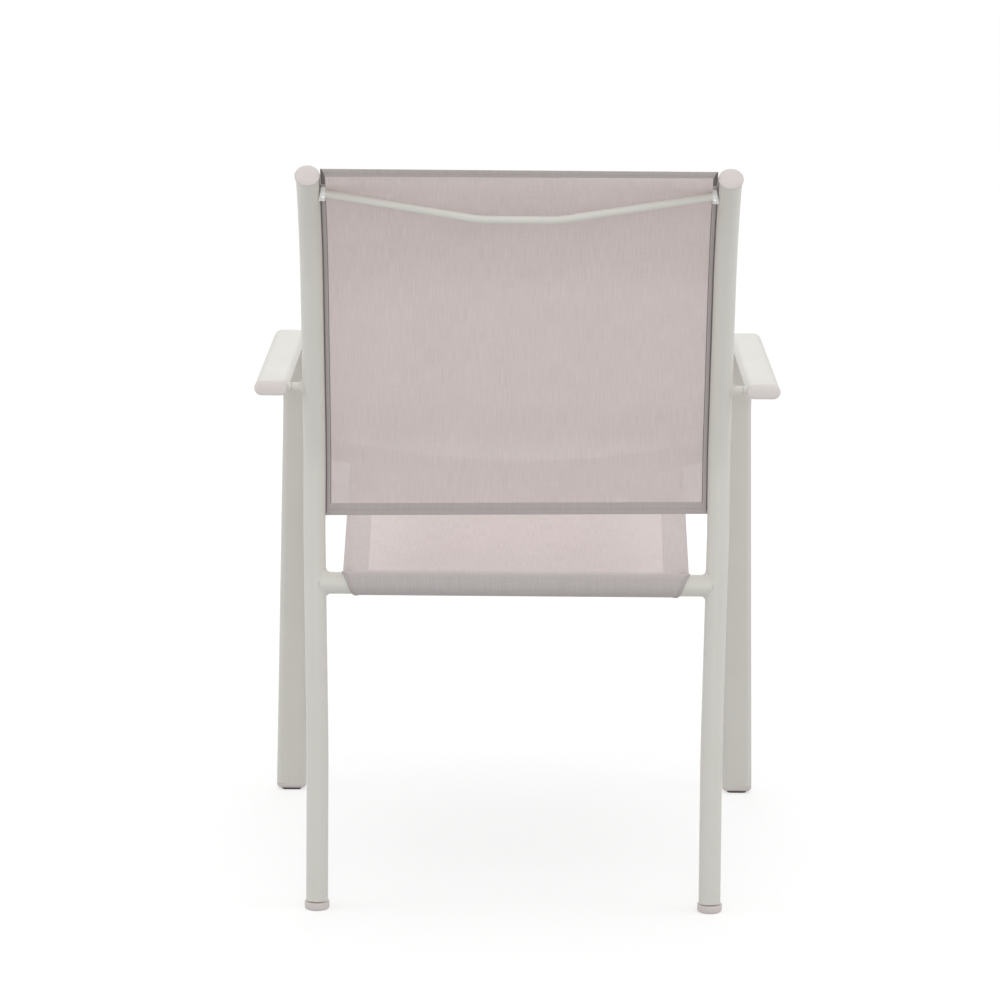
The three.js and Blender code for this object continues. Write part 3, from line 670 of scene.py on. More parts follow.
def addPost(name, side):
    # the round tube has a groove along its inner side: a pocket behind a narrow mouth
    half, forward, radius = post["grooveMouth"] / 2, post["grooveForward"], post["radius"]
    low, high = asin((forward - half) / radius), asin((forward + half) / radius)
    mouth = asin(half / post["pocketRadius"])
    section = []
    for depth, rise, reach, angles in (
        (0, 0, radius, span(high, 2 * pi + low, post["sides"])),
        (post["pocketDepth"], forward, post["pocketRadius"], span(-mouth, mouth - 2 * pi, 14)),
    ):
        section += [(-side * (depth + reach * cos(a)), -(rise + reach * sin(a))) for a in angles]
    heights = postHeights(cap["footHeight"] + 0.00005, post["height"])
    if side < 0:
        section.reverse()
    shell = sweep([postAxis(side, z) for z in heights], section)
    fit(asPiece(f"post_tube_{name}", shell, frameCoat), "frame_coat", f"rear_post_{name}")


def addTopCap(name, side):
    # the cover leans as the plug below it lies in the bent tube
    end = postAxis(side, post["height"])
    before = postPoint(end.x, post["height"] - cap["topPlug"])
    lean = atan2(end.y - before.y, end.z - before.z)
    radius, rim = cap["topRadius"], touchGap + cap["topRim"]
    dome = [
        (radius * cos(a), rim + cap["topDome"] * sin(a))
        for a in (0.12, 0.3, 0.5, 0.7, 0.9, 1.1, 1.3, 1.45)
    ]
    profile = [
        (0, touchGap), (radius * 0.93, touchGap), (radius * 0.985, touchGap + 0.0002),
        (radius, touchGap + 0.0006), (radius, rim - 0.0002), *dome, (0, rim + cap["topDome"]),
    ]
    shell = turned(profile, 72, placeAt(end, -lean))
    fit(asPiece(f"top_cap_cover_{name}", shell, capPlastic), "cap_plastic", f"top_cap_{name}")


def addRearFoot(name, side):
    radius, height, bend = cap["footRadius"], cap["footHeight"], cap["footRounding"]
    profile = [
        (0, 0),
        *((radius - bend + bend * sin(a), bend - bend * cos(a)) for a in span(0, pi / 2, 6)),
        (radius, height - 0.0006), (radius - 0.0003, height - 0.0001), (radius - 0.0007, height),
        (0, height),
    ]
    shell = turned(profile, 72, placeAt(postAxis(side, 0)))
    fit(asPiece(f"rear_foot_cover_{name}", shell, capPlastic), "cap_plastic", f"rear_foot_{name}")


for name, side in sides.items():
    addPost(name, side)
    addTopCap(name, side)
    addRearFoot(name, side)
print("posts made")

armEnd = {
    "capThickness": 0.0042,
    "capRounding": 0.0030,
    "capSpread": 2.4,
    "plugHeight": 0.006,
    "plugRounding": 0.004,
    "glideThickness": 0.002,
    "glideInset": 0.0065,
    "glideRounding": 0.0006,
}


def roundedEnd(width, thickness, height, rounding, place, spread=1.0):
    # an oval block, flat below and rounded round its upper edge, over a wider strip if spread
    levels = [(width - 0.0003, thickness - 0.0003, 0), (width, thickness, 0.00025)]
    for angle in span(0, pi / 2, 9):
        inset = 2 * rounding * spread * (1 - cos(angle))
        rise = height - rounding + rounding * sin(angle)
        levels.append((width - inset, thickness - inset, rise))
    return stacked([[(*point, z) for point in ovalLoop(w, t)] for w, t, z in levels], place)


def addArm(name, side):
    width, thickness = arm["width"], arm["thickness"]
    top = armEnd["glideThickness"] + touchGap + armEnd["plugHeight"]
    tube = sweep(armRoute(side, top + touchGap), ovalLoop(width, thickness))
    tube = asPiece(f"arm_leg_tube_{name}", tube, frameCoat)
    fit(tube, "frame_coat", f"arm_and_front_leg_{name}")

    place = placeAt((side * armX, armRearY + touchGap, arm["height"]), -pi / 2)
    height, rounding = armEnd["capThickness"], armEnd["capRounding"]
    shell = roundedEnd(width, thickness, height, rounding, place, armEnd["capSpread"])
    fit(asPiece(f"arm_end_cap_{name}", shell, endPlastic), "cap_plastic", f"arm_cap_{name}")

    place, height = placeAt(legPoint(side, top), pi), armEnd["plugHeight"]
    shell = roundedEnd(width, thickness, height, armEnd["plugRounding"], place)
    plug = asPiece(f"leg_end_plug_{name}", shell, capPlastic)
    fit(plug, "cap_plastic", f"front_foot_plug_{name}")

    height, inset = armEnd["glideThickness"], armEnd["glideInset"]
    place = placeAt((legPoint(side, top).x, frontFootY, height), pi)
    rounding = armEnd["glideRounding"]
    shell = roundedEnd(width - 2 * inset, thickness - inset, height, rounding, place)
    glide = asPiece(f"floor_glide_{name}", shell, glidePlastic)
    fit(glide, "glide_plastic", f"front_foot_glide_{name}")


for name, side in sides.items():
    addArm(name, side)
print("arms made")

weld = {
    "reach": 0.0042,
    "ripple": 0.00012,
    "rippleCount": 46,
    "least": 0.45,
    "sink": 0.00015,
    "rootDepth": 0.0022,
    "rootRun": 0.0012,
    "around": 184,
    "across": 7,
}


def weldFillet(name, side, height, centreY, barRadius, way):
    # a concave fillet round a bar that meets a post; way is the bar's X direction to the post
    axis, slope = postAxis(side, height), tan(-postRun(height)[1])
    centre, outward = Vector((0, centreY, height)), Vector((way, 0, 0))
    rings = []
    for angle in span(0, 2 * pi, weld["around"])[:-1]:
        spoke = Vector((0, cos(angle), sin(angle)))
        offset = spoke * barRadius
        away = centre.y + offset.y - axis.y + offset.z * slope
        away = max(-post["radius"], min(post["radius"], away))
        inward = sqrt(post["radius"] ** 2 - away ** 2)
        meet = Vector((axis.x - way * inward, centre.y + offset.y, centre.z + offset.z))
        normal = Vector((-way * inward, away, 0)) / post["radius"]
        along = spoke - normal * spoke.dot(normal)
        wave = 1 + weld["ripple"] / weld["reach"] * 3 * sin(weld["rippleCount"] * angle)
        steep = weld["least"] + (1 - weld["least"]) * along.length
        reach = weld["reach"] * steep * wave
        onBar = meet - outward * reach - spoke * weld["sink"]
        onPost = meet + along * reach - normal * weld["sink"]
        corner = meet - outward * reach * 0.2 + along * reach * 0.2
        ring = []
        for share in span(0, 1, weld["across"]):
            point = onBar * (1 - share) ** 2 + corner * 2 * share * (1 - share)
            ring.append(point + onPost * share ** 2)
        ring.append(meet - spoke * weld["rootDepth"] + outward * weld["rootRun"])
        rings.append(ring)
    shell = ringShell(rings, capped=False, looped=True)
    fit(asPiece(name, shell, frameCoat, 60), "frame_coat")


def addRearBar():
    half = postX(bar["rearHeight"]) - post["radius"] * bar["rearReach"]
    route = [Vector((x, rearBarY, bar["rearHeight"])) for x in span(-half, half, 8)]
    roundBar("rear_crossbar_tube", route, bar["radius"], 64, "rear_crossbar")
    for name, side in sides.items():
        weldName = f"rear_bar_weld_{name}"
        weldFillet(weldName, side, bar["rearHeight"], rearBarY, bar["radius"], side)


def addFrontBar():
    reach = frontBarEnd
    route = [Vector((x, frontBarY, barHeight("front", x))) for x in span(-reach, reach, 60)]
    roundBar("front_crossbar_tube", route, bar["radius"], 64, "front_crossbar")
    slope, edge = 2 * bar["frontBow"] / reach, arm["thickness"] / 2
    for name, side in sides.items():
        ring = []
        for angle in span(0, 2 * pi, 96)[:-1]:
            # the bead follows the oval leg, which falls away before and behind its middle
            away = bar["radius"] * cos(angle)
            depth = edge - sqrt(max(edge ** 2 - away ** 2, 0))
            inset = max(bar["frontBite"] - depth, 0)
            rise = bar["radius"] * sin(angle) - slope * inset
            z = barHeight("front", reach) + rise
            ring.append(Vector((side * (reach - inset), frontBarY + away, z)))
        roundBar(f"front_bar_weld_{name}", [*ring, ring[0]], bar["frontWeld"], 14)


tie = {
    "stubRadius": 0.005,
    "stubLength": 0.012,
    "stubStart": 0.6,
    "spacerRadius": 0.0048,
    "spacerBite": 0.001,
}


def addArmTie(name, side):
    core = postAxis(side, arm["height"])
    start = core + Vector((side * post["radius"] * tie["stubStart"], 0, 0))
    end = core + Vector((side * (post["radius"] + tie["stubLength"]), 0, 0))
    route = [start, (start + end) / 2, end]
    roundBar(f"arm_stub_bar_{name}", route, tie["stubRadius"], 40, f"arm_stub_{name}")
    weldFillet(f"stub_weld_{name}", side, arm["height"], core.y, tie["stubRadius"], -side)

    length = armX - arm["width"] / 2 + tie["spacerBite"] - abs(end.x) - touchGap
    place = placeAt(end + Vector((side * touchGap, 0, 0)), side * pi / 2, "Y")
    radius = tie["spacerRadius"]
    profile = [
        (0, 0), (radius - 0.0004, 0), (radius, 0.0004), (radius, length * 0.45),
        (radius - 0.0003, length * 0.5), (radius, length * 0.55), (radius, length), (0, length),
    ]
    spacer = asPiece(f"arm_spacer_ring_{name}", turned(profile, 40, place), spacerPlastic)
    fit(spacer, "spacer_plastic", f"arm_spacer_{name}")


addRearBar()
addFrontBar()
for name, side in sides.items():
    addArmTie(name, side)
print("crossbars made")

cloth = {
    "seatThickness": 0.0007,
    "backThickness": 0.0006,
    "hemThickness": 0.0012,
    "rimShare": 0.5,
}


def clothGrid(shell, points, seams, marks, removed=()):
    # a grid of quads with cloth coordinates in metres, and marks of how far it is doubled or
    # darkened by painted shade
    coordinates = shell.loops.layers.uv.get("cloth") or shell.loops.layers.uv.new("cloth")
    doubled = shell.verts.layers.float.get("doubled") or shell.verts.layers.float.new("doubled")
    grid = [[shell.verts.new(point) for point in row] for row in points]
    for row, rowMarks in zip(grid, marks):
        for vert, mark in zip(row, rowMarks):
            vert[doubled] = mark
    for i in range(len(grid) - 1):
        for j in range(len(grid[0]) - 1):
            if (i, j) in removed:
                continue
            corners = [(i, j), (i, j + 1), (i + 1, j + 1), (i + 1, j)]
            face = shell.faces.new([grid[a][b] for a, b in corners])
            for loop, (a, b) in zip(face.loops, corners):
                loop[coordinates].uv = seams[a][b]


def clothPiece(name, shell, thickness, node):
    # one layer, smooth all over, is given its thickness to both sides
    bmesh.ops.remove_doubles(shell, verts=shell.verts, dist=1e-5)
    loose = [vert for vert in shell.verts if not vert.link_faces]
    bmesh.ops.delete(shell, geom=loose, context="VERTS")
    piece = asPiece(name, shell, slingCloth, 181)
    wall = piece.modifiers.new("wall", "SOLIDIFY")
    wall.thickness = thickness
    wall.offset = 0
    wall.use_even_offset = False
    return fit(settled(piece), "sling_fabric", node)


def lengthsAlong(points):
    run = [0.0]
    for first, second in zip(points, points[1:]):
        run.append(run[-1] + (second - first).length)
    return run


def edged(side, low, high, rim=0.0003):
    # the stops across a strip, with a narrow rim along each edge
    return [side * x for x in (low, low + rim, high - rim, high)]


def band(name, rows, material, thickness=cloth["hemThickness"]):
    # a closed strip of cloth: rows of (point, facing), thinner at its rim
    shell = bmesh.new()
    coordinates = shell.loops.layers.uv.new("cloth")
    last, width = len(rows) - 1, len(rows[0]) - 1

    def lifted(i, j, sign):
        point, facing = rows[i][j]
        atRim = i in (0, last) or j in (0, width)
        lift = thickness / 2 * (cloth["rimShare"] if atRim else 1)
        return shell.verts.new(point + facing * lift * sign)

    sheets = [
        [[lifted(i, j, sign) for j in range(width + 1)] for i in range(last + 1)]
        for sign in (1, -1)
    ]
    up = lengthsAlong([row[0][0] for row in rows])
    over = lengthsAlong([point for point, _ in rows[0]])

    def patch(corners, places):
        face = shell.faces.new(corners)
        for loop, (i, j) in zip(face.loops, places):
            loop[coordinates].uv = (over[j], up[i])

    for i in range(last):
        for j in range(width):
            places = [(i, j), (i, j + 1), (i + 1, j + 1), (i + 1, j)]
            patch([sheets[0][a][b] for a, b in places], places)
            patch([sheets[1][a][b] for a, b in places[::-1]], places[::-1])
    rim = [(0, j) for j in range(width)] + [(i, width) for i in range(last)]
    rim += [(last, j) for j in range(width, 0, -1)] + [(i, 0) for i in range(last, 0, -1)]
    for (a, b), (c, d) in zip(rim, rim[1:] + rim[:1]):
        corners = [sheets[0][a][b], sheets[1][a][b], sheets[1][c][d], sheets[0][c][d]]
        patch(corners, [(a, b), (a, b), (c, d), (c, d)])
    return fit(asPiece(name, shell, material, 75), "sling_fabric")


back = {
    "bottom": 0.459,
    "edgeTop": post["height"] - 0.001,
    "top": post["height"] + 0.006,
    "bottomSlant": 0.0025,
    "topSlant": 0.0010,
    "splineRadius": 0.0023,
    "postGap": 0.0002,
    "sideHem": 0.0062,
    # seam: width of the dark strip by the post, painted shadow of the groove mouth
    "seam": 0.0011,
    "innerSeam": 0.0007,
    "topHem": 0.0128,
    "bottomHem": 0.0138,
    "hemThickness": 0.0016,
    "stitchInset": 0.0064,
    "sideStitch": 0.0024,
    "sideTop": 0.8525,
    "wedgeTip": 0.0015,
    "shadeBelow": 0.61,
    "shadeRun": 0.12,
    "lowerShade": 0.17,
}
backHalf = post["spacing"] / 2 - post["pocketDepth"] - back["splineRadius"] - touchGap
backOuter = post["spacing"] / 2 - post["radius"] - back["postGap"]
backInner = post["spacing"] / 2 - post["radius"] - back["sideHem"]
notchHalf = post["spacing"] / 2 - cap["topRadius"] - touchGap
backStations = span(back["bottom"] + 0.003, back["sideTop"], 90)


def backFacing(height):
    lean = postRun(height)[1]
    return Vector((0, cos(lean), -sin(lean)))


def backPoint(x, height):
    # the cloth hangs a little askew between the posts
    share = (height - back["bottom"]) / (back["top"] - back["bottom"])
    slant = back["bottomSlant"] + (back["topSlant"] - back["bottomSlant"]) * share
    askew = 0 if height > back["edgeTop"] - 0.0001 else slant
    return postPoint(x, height - askew * x / backHalf, post["grooveForward"])


def backRow(places, height):
    return [(backPoint(x, height), backFacing(height)) for x in places]


def backHems():
    hems = []
    topHemLow = back["top"] - back["topHem"] * cos(crownLean)
    tip = notchHalf - back["wedgeTip"]
    outer = backOuter - back["seam"]
    for name, half, spread, low, high, material in (
        ("bottom", outer, 0, back["bottom"], back["bottom"] + back["bottomHem"], sideHemCloth),
        ("top", backInner, tip - backInner, topHemLow, back["top"], hemCloth),
    ):
        rows = []
        for z in span(low, high, 6):
            reach = half + spread * (z - low) / (high - low)
            rows.append(backRow(span(-reach, reach, 60), z))
        hems.append(band(f"back_{name}_hem", rows, material, back["hemThickness"]))
    corner = span(back["sideTop"], back["edgeTop"], 6) + span(back["edgeTop"], back["top"], 3)[1:]
    for name, side in sides.items():
        # the dark strip next to the post is painted shadow, where the cloth goes into the groove
        for part, low, high, material in (
            ("side_hem", backInner + back["innerSeam"], outer, sideHemCloth),
            ("inner_seam", backInner, backInner + back["innerSeam"], seamAndShadeCloth),
            ("edge_seam", outer, backOuter, seamAndShadeCloth),
        ):
            rows = [backRow(edged(side, low, high), z) for z in backStations]
            hems.append(band(f"back_{part}_{name}", rows, material))
        # painted shadow: the dark wedge beside the post, in the shade between the top cap and the
        # cloth, widens as the top hem draws in
        rows = []
        for z in corner:
            share = max(0.0, (z - topHemLow) / (back["top"] - topHemLow))
            low = backInner + (tip - backInner) * share - 0.0002
            rows.append(backRow(edged(side, low, notchHalf - 0.0002), z))
        hems.append(band(f"back_corner_seam_{name}", rows, cornerShadeCloth))
    return hems


def addBackSling():
    stops = postHeights(back["bottom"], back["edgeTop"])
    heights = []
    for low, high in zip(stops, stops[1:]):
        heights += span(low, high, max(1, round((high - low) / 0.006)))[:-1]
    edgeRow = len(heights)
    heights += span(back["edgeTop"], back["top"], 3)
    columns = [backInner, backInner + 0.0004, notchHalf, backHalf]
    columns = [-x for x in columns[::-1]] + span(-backInner, backInner, 40)[1:-1] + columns
    run = lengthsAlong([backPoint(0, z) for z in heights])
    points = [[backPoint(x, z) for x in columns] for z in heights]
    seams = [[(x, length) for x in columns] for length in run]
    marks = []
    for z in heights:
        # painted shade: towards its bottom the back cloth is drawn darker and less open, as if
        # partly doubled, where the seat shades it
        lowShade = back["lowerShade"] * within((back["shadeBelow"] - z) / back["shadeRun"])
        marks.append([1.0 if abs(x) > backInner + 0.0001 else lowShade for x in columns])
    notched = {(i, j) for i in range(edgeRow, len(heights)) for j in (0, len(columns) - 2)}
    shell = bmesh.new()
    clothGrid(shell, points, seams, marks, notched)
    sling = clothPiece("back_sling_cloth", shell, cloth["backThickness"], "back_sling")
    hems = backHems()

    routes, facings = [], []
    for sign in (1, -1):
        for z in (
            back["bottom"] + back["stitchInset"],
            back["top"] - back["stitchInset"] * cos(crownLean),
        ):
            way = backFacing(z) * sign
            lift = way * back["hemThickness"] / 2
            routes.append([backPoint(x, z) + lift for x in span(-backInner, backInner, 30)])
            facings.append([way] * len(routes[-1]))
        ways = [backFacing(z) * sign for z in backStations]
        for side in (1, -1):
            x = side * (backInner + back["sideStitch"])
            lift = cloth["hemThickness"] / 2
            routes.append([backPoint(x, z) + way * lift for z, way in zip(backStations, ways)])
            facings.append(ways)
    rows = stitchRows("back_hem_stitches", routes, facings, stitchGroup)


addBackSling()
print("back sling made")

rail = {
    "radius": 0.011,
    "endGap": 0.0131,
    "slingThickness": 0.0012,
    "lift": 0.0006,
    "postGap": 0.01915,
    "legGap": 0.0474,
    "seamInset": 0.0175,
    "seamSink": 0.0007,
    "stitchOffsets": (0.0016, 0.0044),
    "sag": 0.004,
    "margin": 0.0138,
    "sleeveEnd": 157.7,
    "sleeveMark": 0.5,
    "sleeveAllowance": 0.052,
}
flap = {
    "frontEnd": 112.0,
    "rearEnd": 150.0,
    "taper": 0.015,
    "taperStart": 80.0,
    "taperTurn": 160.0,
    "tongue": 0.026,
    "tongueStart": -105.0,
    "tongueTurn": 45.0,
    "hem": 0.0042,
    "hemLift": 0.0004,
    "hemStart": 66.0,
    "endHemTurn": 45.0,
    "endHemLift": 0.0003,
    "shadeTurnEnd": 50.0,
}
seatRearHalf = post["spacing"] / 2 - post["radius"] - rail["postGap"]
seatFrontHalf = arm["legTopSpan"] / 2 - arm["width"] - rail["legGap"]
railReach = rail["radius"] + rail["lift"] + rail["slingThickness"]
wrapRadius = bar["radius"] + rail["lift"] + cloth["seatThickness"] / 2
sleeveRadius = rail["radius"] + rail["lift"] + cloth["seatThickness"] / 2
# at each crossbar: share along the rails, half width of the cloth, depth, way out from the seat
seatEnds = {
    "rear": (0, seatRearHalf, rearBarY, 1),
    "front": (1, seatFrontHalf, frontBarY, -1),
}


def railPoint(side, share):
    drop = bar["radius"] - rail["radius"]
    rearX, frontX = seatRearHalf - railReach, seatFrontHalf - railReach
    rear = Vector((side * rearX, rearBarY, bar["rearHeight"] + drop))
    return rear.lerp(Vector((side * frontX, frontBarY, barHeight("front", frontX) + drop)), share)


def seatHeight(across, share):
    rear = bar["rearHeight"] + wrapRadius
    front = barHeight("front", across * railPoint(1, 1).x) + wrapRadius
    hang = rail["sag"] * 4 * share * (1 - share) * (1 - across ** 2)
    return rear + (front - rear) * share - hang


def seatStations():
    # (zone, value) from under the rear bar, over it, along the seat and round the front bar
    margin = rail["margin"] / barRun
    shares = [margin / 3, margin * 2 / 3, *span(margin, 1 - margin, 56)]
    shares += [1 - margin * 2 / 3, 1 - margin / 3]
    return [
        *(("rear", radians(a)) for a in span(-flap["rearEnd"], 90, 34)),
        *(("seat", share) for share in shares),
        *(("front", radians(a)) for a in span(90, -flap["frontEnd"], 26)),
    ]


def flapHalf(zone, angle):
    if zone == "front":
        return seatFrontHalf
    share = within((flap["taperStart"] - degrees(angle)) / flap["taperTurn"])
    tongue = within((flap["tongueStart"] - degrees(angle)) / flap["tongueTurn"])
    return seatRearHalf - flap["taper"] * share - flap["tongue"] * tongue


def seatPoint(zone, value, across):
    # across is in rail spacings: 1 is above the middle of the rail
    if zone == "seat":
        point = railPoint(1, value)
        return Vector((across * point.x, point.y, seatHeight(across, value)))
    share, half, barY, way = seatEnds[zone]
    x = across * railPoint(1, share).x * flapHalf(zone, value) / half
    z = barHeight(zone, x) + wrapRadius * sin(value)
    return Vector((x, barY + way * wrapRadius * cos(value), z))


def sleevePoint(side, share, angle):
    reach = sleeveRadius * cos(angle)
    return railPoint(side, share) + Vector((side * reach, 0, sleeveRadius * sin(angle)))


def seamPoint(side, share):
    centre = railPoint(side, share)
    across = 1 - rail["seamInset"] / abs(centre.x)
    z = seatHeight(across, share) - rail["seamSink"]
    return Vector((across * centre.x, centre.y, z))


def addSleeveEnd(shell, side, zone, share, angles):
    # the upper outer quarter of a sleeve runs on to the cloth that wraps the crossbar
    quarter = [angle for angle in angles if angle > -0.01]
    row = [sleevePoint(side, share, angle) for angle in quarter]
    row[0] = seatPoint("seat", share, side)
    end, _, barY, way = seatEnds[zone]
    middle = railPoint(side, end)
    last = [seatPoint("seat", end, side)]
    for angle in quarter[1:]:
        z = middle.z + sleeveRadius * sin(angle)
        rise = min(abs(z - barHeight(zone, middle.x)), wrapRadius)
        y = barY - way * sqrt(wrapRadius ** 2 - rise ** 2)
        last.append(Vector((middle.x + side * sleeveRadius * cos(angle), y, z)))
    points = [[a.lerp(b, k / 3) for a, b in zip(row, last)] for k in range(4)]
    seams = [[(point.x, point.y) for point in line] for line in points]
    clothGrid(shell, points, seams, [[rail["sleeveMark"]] * len(quarter)] * 4)


def wrapShadeMark(zone, value):
    # the cloth takes the darker doubled colour as it turns over a crossbar: the bar behind it
    # stops light through the mesh, and the gradual darkening as it turns away from the light is
    # painted shade
    if zone == "seat":
        return 0.0
    return 0.5 + 0.5 * within((90 - degrees(value)) / flap["shadeTurnEnd"])


def addSeatSide(shell, side, stations, run):
    # the cloth beyond the rail at each crossbar, and the sleeve round the rail between them
    for zone, (end, half, _, _) in seatEnds.items():
        rows = [place for place in stations if place[0] == zone]
        edges = span(1, half / railPoint(1, end).x, 3)
        points = [[seatPoint(*place, side * c) for c in edges] for place in rows]
        start = stations.index(rows[0])
        seams = [[(point.x, run[start + i]) for point in row] for i, row in enumerate(points)]
        clothGrid(shell, points, seams, [[wrapShadeMark(*place)] * 4 for place in rows])
    angles = [radians(a) for a in span(90, -rail["sleeveEnd"], 26)]
    reach = rail["margin"] * 0.99 / barRun
    shares = [v for zone, v in stations if zone == "seat" and reach < min(v, 1 - v)]
    points, seams = [], []
    for share in shares:
        row = [sleevePoint(side, share, angle) for angle in angles]
        row[0] = seatPoint("seat", share, side)
        row += [row[-1].lerp(seamPoint(side, share), k / 3) for k in (1, 2, 3)]
        length = run[stations.index(("seat", share))]
        points.append(row)
        seams.append([(row[0].x + side * far, length) for far in lengthsAlong(row)])
    clothGrid(shell, points, seams, [[rail["sleeveMark"]] * len(row) for row in points])
    for zone, share in (("rear", shares[0]), ("front", shares[-1])):
        addSleeveEnd(shell, side, zone, share, angles)


def flapRow(zone, angle, places, lift):
    # (point, facing) at distances from the middle, on the cloth round a crossbar
    share, half, _, way = seatEnds[zone]
    facing = Vector((0, way * cos(angle), sin(angle)))
    scale = half / flapHalf(zone, angle) / railPoint(1, share).x
    return [(seatPoint(zone, angle, x * scale) + facing * lift, facing) for x in places]


def seatHems():
    hems = []
    for name, side in sides.items():
        rows = []
        for angle in span(radians(-flap["rearEnd"]), radians(flap["hemStart"]), 28):
            half = flapHalf("rear", angle)
            places = edged(side, half - flap["hem"], half, 0.0006)
            rows.append(flapRow("rear", angle, places, flap["hemLift"]))
        hems.append(band(f"seat_flap_hem_{name}", rows, sideHemCloth))
    for zone in seatEnds:
        rows, end = [], -flap[f"{zone}End"]
        for angle in span(radians(end), radians(end + flap["endHemTurn"]), 8):
            half = flapHalf(zone, angle) - 0.001
            rows.append(flapRow(zone, angle, span(-half, half, 48), flap["endHemLift"]))
        hems.append(band(f"seat_{zone}_hem", rows, hemCloth))
    return hems


def addSeatSling():
    stations = seatStations()
    seam = 1 - rail["seamInset"] / railPoint(1, 0.5).x
    outer = [seam, seam + 0.002, 0.965, 1]
    core = [-c for c in outer[::-1]] + span(-seam, seam, 36)[1:-1] + outer
    shell = bmesh.new()
    run = lengthsAlong([seatPoint(*place, 0) for place in stations])
    points = [[seatPoint(*place, c) for c in core] for place in stations]
    seams = [[(point.x, length) for point in row] for row, length in zip(points, run)]
    banded = [rail["sleeveMark"] * (abs(c) > seam + 0.001) for c in core]
    marks = [[wrapShadeMark(*place) or mark for mark in banded] for place in stations]
    clothGrid(shell, points, seams, marks)
    for side in (1, -1):
        addSeatSide(shell, side, stations, run)
    area = sum(face.calc_area() for face in shell.faces)
    sling = clothPiece("seat_sling_cloth", shell, cloth["seatThickness"], "seat_sling")
    hems = seatHems()

    routes, facings = [], []
    for side in (1, -1):
        for offset in rail["stitchOffsets"]:
            route = []
            for share in span(0.035, 0.965, 60):
                x = railPoint(1, share).x
                point = seatPoint("seat", share, side * (x - rail["seamInset"] + offset) / x)
                route.append(point + Vector((0, 0, cloth["seatThickness"] / 2)))
            routes.append(route)
            facings.append([Vector((0, 0, 1))] * len(route))
    rows = stitchRows("seat_seam_stitches", routes, facings, seatStitchGroup)
    print("seat cloth", round(area, 4), "square metres, run", round(run[-1], 4))


for name, side in sides.items():
    edge = rail["endGap"] / barRun
    route = [railPoint(side, share) for share in span(edge, 1 - edge, 6)]
    roundBar(f"seat_rail_tube_{name}", route, rail["radius"], 48, f"seat_rail_{name}")
addSeatSling()
bpy.data.objects.remove(stitchShape)
print("seat sling made")

rod = {
    "radius": 0.0044,
    "belowTop": 0.0198,
    "bow": 0.035,
    "flatHalf": 0.032,
    "bendEnd": 0.057,
    "slingGap": 0.001,
    "slingThickness": 0.001,
    "bracketTop": 0.005,
    "bracketBottom": 0.008,
    "bracketHeight": 0.014,
    "bracketDepth": 0.010,
    "bracketBite": 0.002,
    "bracketBevel": 0.0007,
    "pinOutward": 0.0026,
}
screw = {
    "headRadius": 0.004,
    "headHeight": 0.0024,
    "shankRadius": 0.00175,
    "shankLength": 0.009,
}
rodHeight = post["height"] - rod["belowTop"]
rodSeat = rod["radius"] + rod["slingGap"] + rod["slingThickness"] / 2 - post["grooveForward"]
bracketOuterX = postX(rodHeight) - post["radius"] - touchGap + rod["bracketBite"]
bracketInnerX = bracketOuterX - rod["bracketBottom"]
rodEndX = bracketInnerX - touchGap


def rodPoint(x):
    # straight from each bracket, with a bend on each side of its straight middle
    slope = rod["bow"] / (rodEndX - (rod["flatHalf"] + rod["bendEnd"]) / 2)
    away = abs(x)
    drop = slope * (rodEndX - away)
    if away < rod["bendEnd"]:
        bent = max(away - rod["flatHalf"], 0)
        drop = rod["bow"] - slope * bent ** 2 / (2 * (rod["bendEnd"] - rod["flatHalf"]))
    return postPoint(x, rodHeight, -rodSeat - drop)


def addSpreaderRod():
    reach = rodEndX + 0.0004
    route = [rodPoint(x) for x in span(-reach, reach, 120)]
    roundBar("spreader_rod_bar", route, rod["radius"], 40, "spreader_rod")
    lean, half = postRun(rodHeight)[1], rod["bracketHeight"] / 2
    for name, side in sides.items():
        low, high = side * rod["bracketBottom"], side * rod["bracketTop"]
        outline = [(0, -half), (low, -half), (high, half), (0, half)]
        levels = [
            [(u, v, sign * rod["bracketDepth"] / 2) for u, v in outline] for sign in (-1, 1)
        ]
        centre = postPoint(side * bracketInnerX, rodHeight, -rodSeat)
        shell = stacked(levels, placeAt(centre, pi / 2 - lean))
        bmesh.ops.bevel(shell, geom=shell.edges[:], offset=rod["bracketBevel"], segments=3,
                        affect="EDGES", profile=0.5)
        bracket = asPiece(f"bracket_block_{name}", shell, bracketPaint, 50)
        fit(bracket, "bracket_paint", f"rod_bracket_{name}")


def setFixings(name, profile, material, group, places, *nodes):
    # one turned template is set at each (point, facing)
    template = asPiece(f"{name}_template", turned(profile, 24), material, 40)
    points, ways = [[point] for point, _ in places], [[way] for _, way in places]
    made = runGroup(pathObject(name, points, ways), group, {"Template": template})
    bpy.data.objects.remove(template)
    fit(made, "fixing_steel", *nodes)


def addPins():
    # a short shank in the bracket under a domed, polished head
    rearward = backFacing(rodHeight)
    profile = [
        (0, -0.003), (0.0009, -0.003), (0.0011, -0.0026), (0.0011, 0), (0.0020, 0),
        (0.0021, 0.0002), (0.0019, 0.0006), (0.0014, 0.0009), (0.0007, 0.0011), (0, 0.00115),
    ]
    lift = rearward * (rod["bracketDepth"] / 2 + 0.0001)
    places = []
    for side in (1, -1):
        point = postPoint(side * bracketInnerX, rodHeight, -rodSeat) + lift
        places.append((point + Vector((side * rod["pinOutward"], 0, 0)), rearward))
    nodes = ("rod_pin_left", "rod_pin_right")
    setFixings("bracket_pins", profile, pinSteel, pinGroup, places, *nodes)


